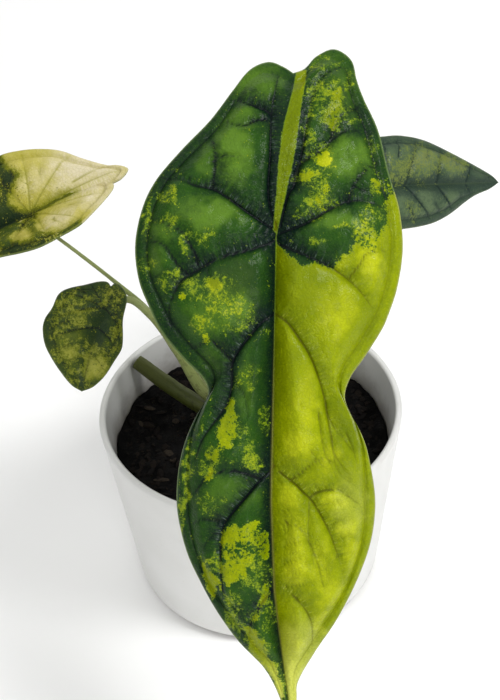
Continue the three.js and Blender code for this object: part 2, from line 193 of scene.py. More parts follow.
def addPiece(name, places, faces, material, stands=(), values=None):
    mesh = bpy.data.meshes.new(name)
    mesh.from_pydata(np.asarray(places, float).tolist(), [], [list(face) for face in faces])
    for key, numbers in (values or {}).items():
        numbers = np.asarray(numbers, np.float32)
        if numbers.ndim == 2:
            mesh.attributes.new(key, "FLOAT_VECTOR", "POINT").data.foreach_set("vector", numbers.ravel())
        else:
            mesh.attributes.new(key, "FLOAT", "POINT").data.foreach_set("value", numbers)
    mesh.update()
    mesh.shade_smooth()
    mesh.materials.append(material)
    piece = bpy.data.objects.new(name, mesh)
    bpy.context.collection.objects.link(piece)
    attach(piece, "root")
    if stands:
        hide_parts(*stands)
    return piece


def weld(places, faces, values):  # joins the points that share a place and drops flat faces
    keys = np.round(places / 1e-7).astype(np.int64)
    first, owner = np.unique(keys, axis=0, return_index=True, return_inverse=True)[1:]
    owner = owner.reshape(-1)
    corners = owner[faces]
    a, b, c = corners.T
    kept = corners[(a != b) & (b != c) & (c != a)]
    return places[first], kept, {key: numbers[first] for key, numbers in values.items()}


def latticeNoise(places, scale, seed, octaves=3):  # soft lumps from 0 to 1, the same on each run
    table = np.random.default_rng(seed).random(4096)
    total, weight, size = np.zeros(len(places)), 0.0, 1.0
    for octave in range(octaves):
        at = places * scale * size + 31.7 * octave
        whole = np.floor(at).astype(np.int64)
        part = at - whole
        part = part * part * (3 - 2 * part)
        value = np.zeros(len(places))
        for corner in range(8):
            step = np.array([corner & 1, corner >> 1 & 1, corner >> 2 & 1])
            index = (whole + step) @ np.array([73856093, 19349663, 83492791])
            share = np.prod(np.where(step == 1, part, 1 - part), axis=1)
            value += table[index % 4096] * share
        total += value / size
        weight += 1 / size
        size *= 2
    return total / weight


# Leaf shape

def onOutline(outline, index):  # a smooth curve through the outline's points
    points = np.array(outline, float)
    last = len(points) - 1
    first = np.clip(np.floor(index).astype(int), 0, last - 1)
    t = (index - first)[:, None]
    p0, p1 = points[np.maximum(first - 1, 0)], points[first]
    p2, p3 = points[first + 1], points[np.minimum(first + 2, last)]
    v0, v1 = (p2 - p0) / 2, (p3 - p1) / 2
    return (2 * p1 - 2 * p2 + v0 + v1) * t**3 + (-3 * p1 + 3 * p2 - 2 * v0 - v1) * t**2 + v0 * t + p1


def softLine(points, steps=4):
    points = np.array(points, float)
    if len(points) < 3:
        return points
    return onOutline(points, np.linspace(0, len(points) - 1, (len(points) - 1) * steps + 1))


def midlineAcross(leaf, y):
    midline = np.array(leaf["midline"], float)[::-1]
    return np.interp(y, midline[:, 1], midline[:, 0])


def rowPaths(leaf, half, numbers):
    whole = np.arange(len(leaf["veinRoots"]))
    rootY = np.interp(numbers, whole, leaf["veinRoots"])
    root = np.stack([midlineAcross(leaf, rootY), rootY], 1)
    edge = onOutline(half["outline"], np.interp(numbers, whole, half["veinEnds"]))
    bows = np.array(half["veinBows"], float)
    bow = np.stack([np.interp(numbers, whole, bows[:, axis]) for axis in (0, 1)], 1)
    return root, (root + edge) / 2 + bow, edge


def onRow(root, middle, edge, along):
    return (1 - along) ** 2 * root + 2 * along * (1 - along) * middle + along**2 * edge


def gapToLine(places, line):  # distance, how far along the line, its length, and the side
    nearest = np.full(len(places), 1e9)
    reach = np.zeros(len(places))
    side = np.zeros(len(places))
    done = 0.0
    for start, end in zip(line[:-1], line[1:]):
        step = end - start
        length = max(float(np.hypot(*step)), 1e-9)
        away = places - start
        share = clamp01((away @ step) / length**2)
        gap = np.hypot(*(away - share[:, None] * step).T)
        closer = gap < nearest
        nearest[closer] = gap[closer]
        reach[closer] = done + share[closer] * length
        side[closer] = np.sign(step[0] * away[closer, 1] - step[1] * away[closer, 0])
        done += length
    return nearest, reach, done, side


def veinField(places, veins, vein):  # what one rank of veins does to the tissue around it
    count = len(places)
    field = {"pillow": np.ones(count), "broad": np.ones(count), "veinShade": np.ones(count)}
    field.update({"line": np.zeros(count), "streaks": np.zeros(count), "reach": np.zeros(count)})
    field["gap"] = np.full(count, 1e3)
    for path, turn in veins:
        gap, along, length, side = gapToLine(places, path)
        strength = vein["strength"] * mixOf(1.0, vein["tip"], along / max(length, 1e-6))
        free = smoothRamp(along / 4) * smoothRamp((length - along) / 6)
        lean = np.where(side * turn < 0, -free, free)  # +1 toward the lobes, where it slopes gently
        soft = np.sqrt(gap**2 + 0.04) - 0.2
        field["pillow"] *= 1 - strength * np.exp(-soft / (vein["slope"] * (1 + 0.5 * lean)))
        field["broad"] *= 1 - strength * bell(gap, vein["reach"])
        # painted shade beside each sunken vein, reaching further up the slope toward the lobes
        field["veinShade"] *= 1 - strength * np.exp(-((gap / (vein["shade"] * (1 + 0.6 * lean))) ** 1.3))
        field["line"] = np.maximum(field["line"], strength * bell(gap, vein["width"]))
        # where the painted glints go: on the slope toward the lobes, near each vein; the finish also bumps
        # along them
        lit = strength * np.exp(-gap / vein["streak"]) * (0.5 + 0.5 * lean) * smoothRamp(along / 3)
        field["streaks"] = np.maximum(field["streaks"], lit)
        closer = gap < field["gap"]
        field["gap"][closer] = gap[closer]
        field["reach"][closer] = along[closer]
    return field


def insidePatch(places, patch):  # distance to the patch's border, positive inside it
    ring = np.array(list(patch) + [patch[0]], float)
    gap = gapToLine(places, ring)[0]
    inside = np.zeros(len(places), bool)
    x, y = places.T
    for (ax, ay), (bx, by) in zip(ring[:-1], ring[1:]):
        if ay != by:
            inside ^= ((ay > y) != (by > y)) & (x < (bx - ax) * (y - ay) / (by - ay) + ax)
    return np.where(inside, gap, -gap)


def blobs(places, spots):  # each spot is (x, y, half width, half height, amount) and may have a turn
    total = np.zeros(len(places))
    for x, y, wide, tall, amount, *turn in spots:
        angle = math.radians(sum(turn))
        dx, dy = places[:, 0] - x, places[:, 1] - y
        a = dx * math.cos(angle) + dy * math.sin(angle)
        b = -dx * math.sin(angle) + dy * math.cos(angle)
        total = np.maximum(total, amount * (1 - smoothRamp(np.hypot(a / wide, b / tall) - 0.5)))
    return total


spotKinds = {
    "fleck": "flecks", "mottle": "mottled", "glow": "paleAndHighlightSpots", "dim": "paintedShadeSpots", "bleach": "bleached",
}


def leafMarks(leaf, plane):
    drift = [latticeNoise(inSpace(plane), 0.4, seed, 2) - 0.5 for seed in (31, 32)]
    loose = plane + 5.0 * np.stack(drift, 1)  # so that no fleck is a neat oval
    fromMid = np.abs(plane[:, 0] - midlineAcross(leaf, plane[:, 1]))
    patch = np.max([insidePatch(plane, one) for one in leaf["patches"]], axis=0)
    if leaf["greens"]:
        green = np.max([insidePatch(plane, one) for one in leaf["greens"]], axis=0)
        patch = np.maximum(patch, -green)
    ragged = leaf["ragged"] * smoothRamp((fromMid - 0.2) / leaf["straightWithin"])
    marks = {"patch": patch, "ragged": ragged * (1 - blobs(plane, leaf["smoothed"]))}
    marks.update({key: blobs(loose, leaf[spots]) for key, spots in spotKinds.items()})
    return marks


blade = {  # what all the leaves share, in mm
    "thickness": 1.1,
    "marginInset": 3.5,  # from the margin to the vein that runs along it
    "marginColumns": 9,
    "fullSize": 15.0,  # the relief fades where a half is narrower
    "edge": 0.7,  # width of the rounded edge
    "bulge": 0.18,  # how far that edge bulges out
    "groove": 0.24,  # depth over the inset
    "bead": 0.13,  # height over the inset
    "veinDepth": 0.34,
    "twigDepth": 0.3,
    "lumps": 0.85,
    "grain": 0.34,
    "midribBelow": 1.9,
    "veinBelow": (0.6, 1.1),  # height and width of the ribs on the lower face
    "twigBelow": (0.3, 0.7),
}
veinRanks = {
    "veins": {
        "strength": 1.0, "tip": 0.45, "slope": 1.4, "reach": 7.0, "shade": 3.0, "width": 0.4,
        "streak": 2.4, "pucker": 0.28, "wave": 2.1,
    },
    "twigs": {
        "strength": 0.9, "tip": 0.55, "slope": 1.1, "reach": 4.0, "shade": 2.4, "width": 0.46,
        "streak": 1.4, "pucker": 0.2, "wave": 2.0,
    },
    "creases": {
        "strength": 0.72, "tip": 0.5, "slope": 0.9, "reach": 2.4, "shade": 1.5, "width": 0.3,
        "streak": 1.0, "pucker": 0.17, "wave": 1.9,
    },
}


def insetOf(length):
    return np.maximum(1e-6, np.minimum(blade["marginInset"], 0.3 * length))


def halfGrid(leaf, half):
    numbers = [
        i + np.arange(steps * leaf["fineness"]) / (steps * leaf["fineness"])
        for i, steps in enumerate(leaf["rowsBetween"])
    ]
    numbers = np.append(np.concatenate(numbers), len(leaf["veinRoots"]) - 1)
    root, middle, edge = rowPaths(leaf, half, numbers)
    length = np.hypot(*(edge - root).T)
    inset = insetOf(length) / np.maximum(length, 3e-6)
    inner = np.linspace(0, 1, leaf["columns"]) ** 1.15
    outer = np.linspace(0, 1, blade["marginColumns"])[1:]
    shares = np.concatenate([(1 - inset)[:, None] * inner, 1 - inset[:, None] * (1 - outer)], 1)
    along = shares[:, :, None]
    places = onRow(root[:, None], middle[:, None], edge[:, None], along)
    return places, shares, length[:, None] * np.ones_like(shares)


def ownHalf(leaf, veins):  # each vein with the half that it is on, -1 left and +1 right
    return [(path, np.sign(np.mean(path[:, 0] - midlineAcross(leaf, path[:, 1])))) for path in veins]


def leafRelief(leaf, places, along, length):
    x, y = places.T
    flat = inSpace(places)
    size = np.minimum(1, length / blade["fullSize"])
    fromRib, fromEdge = along * length, (1 - along) * length
    inset = insetOf(length)
    across = np.abs(x - midlineAcross(leaf, y))
    wide = leaf["halfWidth"]
    ranks = {key: veinField(places, ownHalf(leaf, leaf[key]), vein) for key, vein in veinRanks.items()}
    main, side, crease = ranks["veins"], ranks["twigs"], ranks["creases"]
    beside = {
        key: clamp01((1 - rank["veinShade"]) * 1.3) * smoothRamp(rank["gap"] / 0.9)
        for key, rank in ranks.items()
    }
    for key in ("pillow", "broad", "veinShade"):
        side[key] *= crease[key]
    side["line"] = np.maximum(side["line"], crease["line"])

    # the large shape: arched, sunken along the midrib, drooping to the margin
    arch = -np.where(y > 0, leaf["archLobes"], leaf["archTip"]) * y**2
    rise = leaf["ribRise"] * size * (1 - np.exp(-fromRib / (0.1 * wide)))
    droop = leaf["droop"] * np.minimum(1, np.abs(x) / wide)
    fall = (leaf["ribRise"] + droop) * size * along**3

    # the tissue puffs up between the veins
    clear = smoothRamp(fromRib / (0.26 * wide)) * smoothRamp((fromEdge - 0.8 * inset) / (0.15 * wide))
    pillow = (0.55 * main["pillow"] + 0.45 * main["broad"]) * (0.62 + 0.38 * side["pillow"])
    pillow *= 0.84 + 0.16 * side["broad"]
    puff = 1.4 * leaf["puff"] * size * (pillow - 0.08) * clear
    sunk = size * (blade["veinDepth"] * main["line"] + blade["twigDepth"] * side["line"])
    sunk *= smoothRamp(fromEdge / 3) * smoothRamp(fromRib / 1.2)  # so that both halves meet at the midrib

    # fine puckers that cross the edges of the veins, and soft lumps elsewhere
    wander = 3.5 * latticeNoise(flat, 0.3, 5)
    ripples = sum(
        vein["pucker"] * beside[key] * np.sin(2 * np.pi * ranks[key]["reach"] / vein["wave"] + wander)
        for key, vein in veinRanks.items()
    )
    ripples *= leaf["pucker"] * (0.35 + 0.65 * latticeNoise(flat, 0.21, 6, 2))
    lumps = blade["lumps"] * leaf["pucker"] * (latticeNoise(flat, 0.34, 11, 2) - 0.5)
    grain = blade["grain"] * leaf["pucker"] * (latticeNoise(flat, 0.8, 12, 2) - 0.5)
    fine = size * (ripples + (lumps + grain) * smoothRamp(main["gap"] / 2.5)) * smoothRamp(fromRib / 3)

    # margin: a groove over the vein that follows it, and a rounded bead outside
    groove = blade["groove"] * inset * bell(fromEdge - inset, inset / 4.5)
    bead = blade["bead"] * inset * bell(fromEdge - inset / 2, inset / 3)
    seamed = 1 - blobs(places, leaf["seamless"])
    waver = (1 + 0.5 * (latticeNoise(flat, 0.15, 17, 2) - 0.5)) * seamed
    lip = clamp01(1 - fromEdge / blade["edge"]) * smoothRamp(fromRib / 0.4)
    top = arch + leaf["fold"] * across + rise - fall + puff - sunk
    top += along**2 * (bead - groove) * waver + fine * smoothRamp(fromEdge / 2) - 0.22 * size * lip**2

    # lower face: midrib and veins stand out below
    fromTip = y - leaf["midline"][-1][1]
    rib = clamp01(fromTip / wide) * bell(fromRib, blade["midribBelow"])
    (veinHigh, veinWide), (twigHigh, twigWide) = blade["veinBelow"], blade["twigBelow"]
    ribs = veinHigh * bell(main["gap"], veinWide) + twigHigh * bell(side["gap"], twigWide)
    thick = blade["thickness"] * (1 - 0.4 * lip**2) + rib
    thick += size * ribs * (1 - along) * smoothRamp(fromRib / 4)

    # painted shade beside the veins and along the margin groove, for the finish
    veinShade = main["veinShade"] * (0.34 + 0.66 * side["veinShade"])
    veinShade *= mixOf(1 - 0.45 * seamed, 1.0, smoothRamp((fromEdge - 0.9 * inset) / 3))
    looks = {
        "veinLine": main["line"] * smoothRamp((fromEdge - 0.5) / 2),
        "twigLine": side["line"] * smoothRamp((fromEdge - 0.5) / 2),
        "streaks": np.maximum(main["streaks"], 0.5 * side["streaks"]),
        "veinShade": veinShade,
        # darker toward the midrib in the finish: painted shade in the midrib's valley
        "fromRib": smoothRamp((fromRib + 0.5) / 7.5),
        "seam": bell(fromRib, 0.4) * smoothRamp(-(y + 0.4 * wide) / wide) * smoothRamp(length / 6),
        "reach": main["reach"],
        "rim": fromEdge,
        "groove": bell(fromEdge - inset, 0.5) * smoothRamp(length / 12) * seamed,
    }
    return top, thick, looks


def leafFrame(leaf):
    facing = Vector(leaf["facing"])
    across = Vector(leaf["lobesToward"]).cross(facing).normalized()
    facing.normalize()
    lobes = facing.cross(across)
    return np.array([across, lobes, facing]), np.array(leaf["seat"], float)


def triangles(a, b, c, d):  # the two halves of each four-sided face
    return np.stack([a, b, c, a, c, d], -1).reshape(-1, 3)


def makeLeaf(leaf, material):
    allPlaces, allFaces, allLooks = [], [], []
    offset = 0
    for half, turn in ((leaf["left"], -1), (leaf["right"], 1)):
        grid, shares, length = halfGrid(leaf, half)
        rows, columns = shares.shape
        flat = grid.reshape(-1, 2)
        top, thick, looks = leafRelief(leaf, flat, shares.ravel(), length.ravel())
        upper = np.column_stack([flat, top])
        under = np.column_stack([flat, top - thick])

        # one more row of points rounds the edge between the two faces
        outward = grid[:, -1] - grid[:, -3]
        outward /= np.maximum(np.hypot(*outward.T), 1e-6)[:, None]
        bulge = blade["bulge"] * np.minimum(1, length[:, 0] / 6)
        rim = (upper.reshape(rows, columns, 3)[:, -1] + under.reshape(rows, columns, 3)[:, -1]) / 2
        rim[:, :2] += outward * bulge[:, None]

        index = np.arange(rows * columns).reshape(rows, columns)
        up = triangles(index[:-1, :-1], index[1:, :-1], index[1:, 1:], index[:-1, 1:])
        down = up[:, ::-1] + rows * columns
        rimIndex = 2 * rows * columns + np.arange(rows)
        edges = ((index[:, -1], rimIndex), (rimIndex, index[:, -1] + rows * columns))
        walls = [triangles(near[:-1], near[1:], far[1:], far[:-1]) for near, far in edges]
        faces = np.concatenate([up, down] + walls)
        allFaces.append((faces[:, ::-1] if turn < 0 else faces) + offset)
        allPlaces.append(np.concatenate([upper, under, rim]))
        offset += len(allPlaces[-1])

        looks["plane"] = inSpace(flat)
        for key, numbers in looks.items():
            edgeRow = numbers.reshape((rows, columns) + numbers.shape[1:])[:, -1]
            looks[key] = np.concatenate([numbers, numbers, edgeRow])
        looks["under"] = np.repeat([0.0, 1.0, 0.5], [len(flat), len(flat), rows])
        allLooks.append(looks)
    basis, seat = leafFrame(leaf)
    world = (np.concatenate(allPlaces) @ basis + seat) * mm
    looks = {key: np.concatenate([part[key] for part in allLooks]) for key in allLooks[0]}
    world, faces, looks = weld(world, np.concatenate(allFaces), looks)
    looks.update(leafMarks(leaf, looks["plane"][:, :2]))
    addPiece(leaf["piece"], world, faces, material, [leaf["node"]], looks)


def rowVeins(leaf, shift=0.0, start=0.0):  # the lines that the rows follow, from midrib to margin
    lines = []
    for half in (leaf["left"], leaf["right"]):
        for number in range(1, len(leaf["veinRoots"]) - 1):
            root, middle, edge = rowPaths(leaf, half, np.array([number + shift]))
            along = np.linspace(start, 0.93, 14)[:, None]
            lines.append(onRow(root, middle, edge, along))
    return lines


# Leaf finish

def leafMaterial(name, look):
    look = paintsOf(look)
    bench = Bench(name, Specular_IOR_Level=look["shine"], Coat_Weight=look["wax"], Coat_Roughness=0.16)
    plane = bench.place("plane")
    clouds = bench.noise(plane, 0.11, 2, 0.5)
    coarse = bench.noise(plane, 0.5, 3, 0.6, 0.3)
    fine = bench.noise(plane, 1.9, 4, 0.7)
    pebbles = bench.centred(bench.noise(plane, 1.0, 4, 0.7, 0.4, 19.0))
    veinShade, glow, dim = bench.value("veinShade"), bench.value("glow"), bench.value("dim")
    beside, fromRib, under = bench.value("streaks"), bench.value("fromRib"), bench.value("under")
    dustAndShade = bench.between(fine, 0.5, 0.72)
    soft = bench.times(bench.centred(coarse), 0.5)

    # pleats that cross the slopes beside the sunken veins, painted as light and dark stripes of shade, and
    # painted glints, silvery highlights, along the pleats
    sweep = bench.join(bench.value("reach"), bench.times(beside, 0.55))
    pleat = bench.centred(bench.noise(sweep, 1.0, 3, 0.65))
    pleatShading = bench.times(pleat, bench.between(beside, 0.03, 0.4, 0.0, 1.5))
    streak = bench.noise(sweep, 2.4, 3, 0.7)
    paintedGlint = bench.times(bench.between(streak, 0.5, 0.62), bench.between(beside, 0.2, 0.7))
    paintedGlint = bench.times(paintedGlint, bench.between(coarse, 0.4, 0.6, 0.1, 1.0))
    line = bench.most(bench.value("veinLine"), bench.times(bench.value("twigLine"), 0.9))
    line = bench.most(line, bench.times(bench.value("groove"), 0.45))

    # green tissue: painted shade darkest beside the sunken veins and toward the midrib, palest in the
    # middle of each puff, with paler tissue and painted highlights laid over it
    light = bench.times(veinShade, bench.between(clouds, 0.3, 0.7, 0.65, 1.05))
    light = bench.plus(bench.times(light, fromRib), soft, bench.times(pebbles, 0.55), pleatShading)
    green = bench.paint(
        look["deepGreen"],
        (bench.between(light, 0.0, 0.85), look["green"]),
        (bench.times(glow, bench.between(light, 0.2, 0.9, 0.1, 1.0)), look["paleGreen"]),
        (bench.times(dustAndShade, 0.25), look["paleGreen"]),
        (bench.times(paintedGlint, look["paintedGlintShare"]), look["paintedGlint"]),
        (bench.times(dim, 0.7), look["deepGreen"]),
        (bench.between(line, 0.1, 0.65), look["greenVein"]),
    )

    # yellow tissue, with olive veins, a faint net, painted shade beside the veins and a painted sheen
    net = bench.cells(plane, 0.85, "DISTANCE_TO_EDGE")
    netLine = bench.between(net, 0.0, 0.1, 1.0, 0.0)
    tinge = bench.noise(plane, 0.09, 2, 0.5, 0.0, 5.0)
    yellowShading = bench.plus(
        bench.times(veinShade, bench.between(fromRib, 0.0, 1.0, 0.35, 0.52)), bench.plus(soft, 0.3),
        bench.times(pleatShading, 0.7), bench.times(pebbles, 0.3), bench.times(glow, 0.2),
    )
    yellow = bench.paint(
        look["deepYellow"],
        (bench.between(yellowShading, 0.0, 0.95), look["yellow"]),
        (bench.between(tinge, 0.48, 0.66, 0.0, 0.26), look["deepYellow"]),
        (bench.times(glow, bench.between(yellowShading, 0.3, 1.0, 0.15, 1.0)), look["paleYellow"]),
        (bench.times(dustAndShade, 0.25), look["paleYellow"]),
        (bench.times(bench.value("bleach"), 0.75), look["bleached"]),
        (bench.times(netLine, 0.22), look["deepYellow"]),
        # painted sheen: pale glints beside the veins, in the bleached colour
        (bench.times(paintedGlint, look["paintedSheenAndCoreShare"]), look["bleached"]),
        (bench.times(dim, 0.9), look["deepYellow"]),
        (bench.between(line, 0.15, 0.8, 0.0, 0.8), look["yellowVein"]),
    )

    # where the two meet: patches with ragged borders and holes
    wobble = bench.plus(bench.times(bench.centred(coarse), 3.6), bench.times(bench.centred(fine), 3.4))
    border = bench.plus(bench.value("patch"), bench.times(wobble, bench.value("ragged")))
    hole = bench.noise(plane, 1.1, 5, 0.75, 0.3, 13.0)
    hole = bench.plus(hole, bench.times(bench.value("mottle"), 0.3))
    pierced = bench.between(hole, 0.7, 0.73, 1.0, 0.0)
    solid = bench.times(bench.between(border, -0.06, 0.06), pierced)

    # and specks of every size strewn between them, the smaller ones faded to olive
    crumbs = bench.noise(plane, 0.3, 2, 0.5, 0.2, 3.0)
    cover = bench.times(bench.value("fleck"), bench.between(crumbs, 0.35, 0.62, 0.6, 1.12))
    speck = bench.times(bench.noise(plane, 0.5, 2, 0.6, 0.4, 7.0), 0.34)
    for scale, share, shift in ((1.4, 0.36, 9.0), (3.4, 0.3, 11.0)):
        speck = bench.plus(speck, bench.times(bench.noise(plane, scale, 2, 0.6, 0.3, shift), share))
    level = bench.plus(speck, bench.times(cover, look["strewing"]))
    middling = bench.times(bench.between(level, 0.55, 0.625), bench.between(cover, 0.03, 0.25))
    middling = bench.times(bench.most(middling, bench.between(border, -look["band"], 0.0)), pierced)
    mask = bench.most(solid, bench.times(bench.between(level, 0.617, 0.633), pierced))
    faded = bench.between(bench.noise(plane, 1.2, 3, 0.7, 0.0, 17.0), 0.4, 0.6, 0.0, 0.6)
    green = bench.paint(
        green,
        (bench.times(cover, 0.15), look["olive"]),
        (bench.times(middling, 0.75), look["olive"]),
    )
    yellow = bench.paint(
        yellow,
        (bench.between(hole, 0.62, 0.7, 0.0, 0.5), look["olive"]),
        (bench.between(border, 0.0, look["halo"], 0.6, 0.0), look["olive"]),
        (bench.times(bench.between(level, 0.65, 0.7), look["paintedSheenAndCoreShare"]), look["paleYellow"]),
        (bench.times(faded, bench.calc("SUBTRACT", 1.0, solid)), look["olive"]),
    )

    # the paler underside, with painted shade where the top is shaded, then the thin pale margin and the
    # line on the midrib above it
    back = bench.paint(
        bench.blend(mask, look["backGreen"], look["backYellow"]),
        (bench.between(light, 0.1, 0.9, 0.5, 0.0), look["backShade"]),
        (bench.times(dustAndShade, 0.3), look["backVein"]),
        (bench.times(netLine, 0.2), look["backVein"]),
        (bench.between(line, 0.0, 0.8, 0.0, 0.8), look["backRib"]),
    )
    edge = bench.blend(mask, look["greenRim"], look["rim"])
    colour = bench.paint(
        bench.blend(mask, green, yellow),
        (bench.between(bench.value("rim"), 0.05, 0.5, 0.6, 0.0), edge),
        (bench.times(bench.value("seam"), 0.6), look["seam"]),
        (under, back),
    )

    height = bench.plus(
        bench.times(bench.between(net, 0.0, 0.3), 0.7), fine, bench.times(pebbles, 1.2),
        bench.times(bench.times(streak, beside), 1.6),
    )
    normal = bench.bump(height, 0.5, 0.0003)
    waxy = bench.bump(height, 0.5, 0.0001)
    gloss = bench.between(fine, 0.3, 0.7, look["roughness"] - 0.06, look["roughness"] + 0.1)
    gloss = bench.plus(gloss, bench.times(under, 0.15))
    return bench.finish(Base_Color=colour, Roughness=gloss, Normal=normal, Coat_Normal=waxy)


leafColours = {
    "deepGreen": (7, 25, 20),
    "green": (35, 70, 15),
    "paleGreen": (88, 122, 34),
    "olive": (96, 122, 26),
    "greenVein": (6, 16, 16),
    # the painted glints: silvery highlights beside the veins
    "paintedGlint": (126, 140, 136),
    "paintedGlintShare": 0.5,
    "deepYellow": (90, 108, 0),
    "yellow": (140, 153, 1),
    "paleYellow": (184, 190, 28),
    "bleached": (198, 202, 96),
    "paintedSheenAndCoreShare": 0.4,
    "yellowVein": (78, 80, 4),
    "rim": (148, 152, 74),
    "greenRim": (108, 132, 70),
    "seam": (112, 104, 50),
    "backGreen": (84, 110, 62),
    "backYellow": (164, 174, 66),
    "backVein": (132, 144, 84),
    "backShade": (58, 82, 44),
    "backRib": (122, 112, 62),
    "band": 0.3,
    "halo": 0.25,
    "strewing": 0.2,
    "shine": 0.04,
    "wax": 0.12,
    "roughness": 0.4,
}


# The large leaf

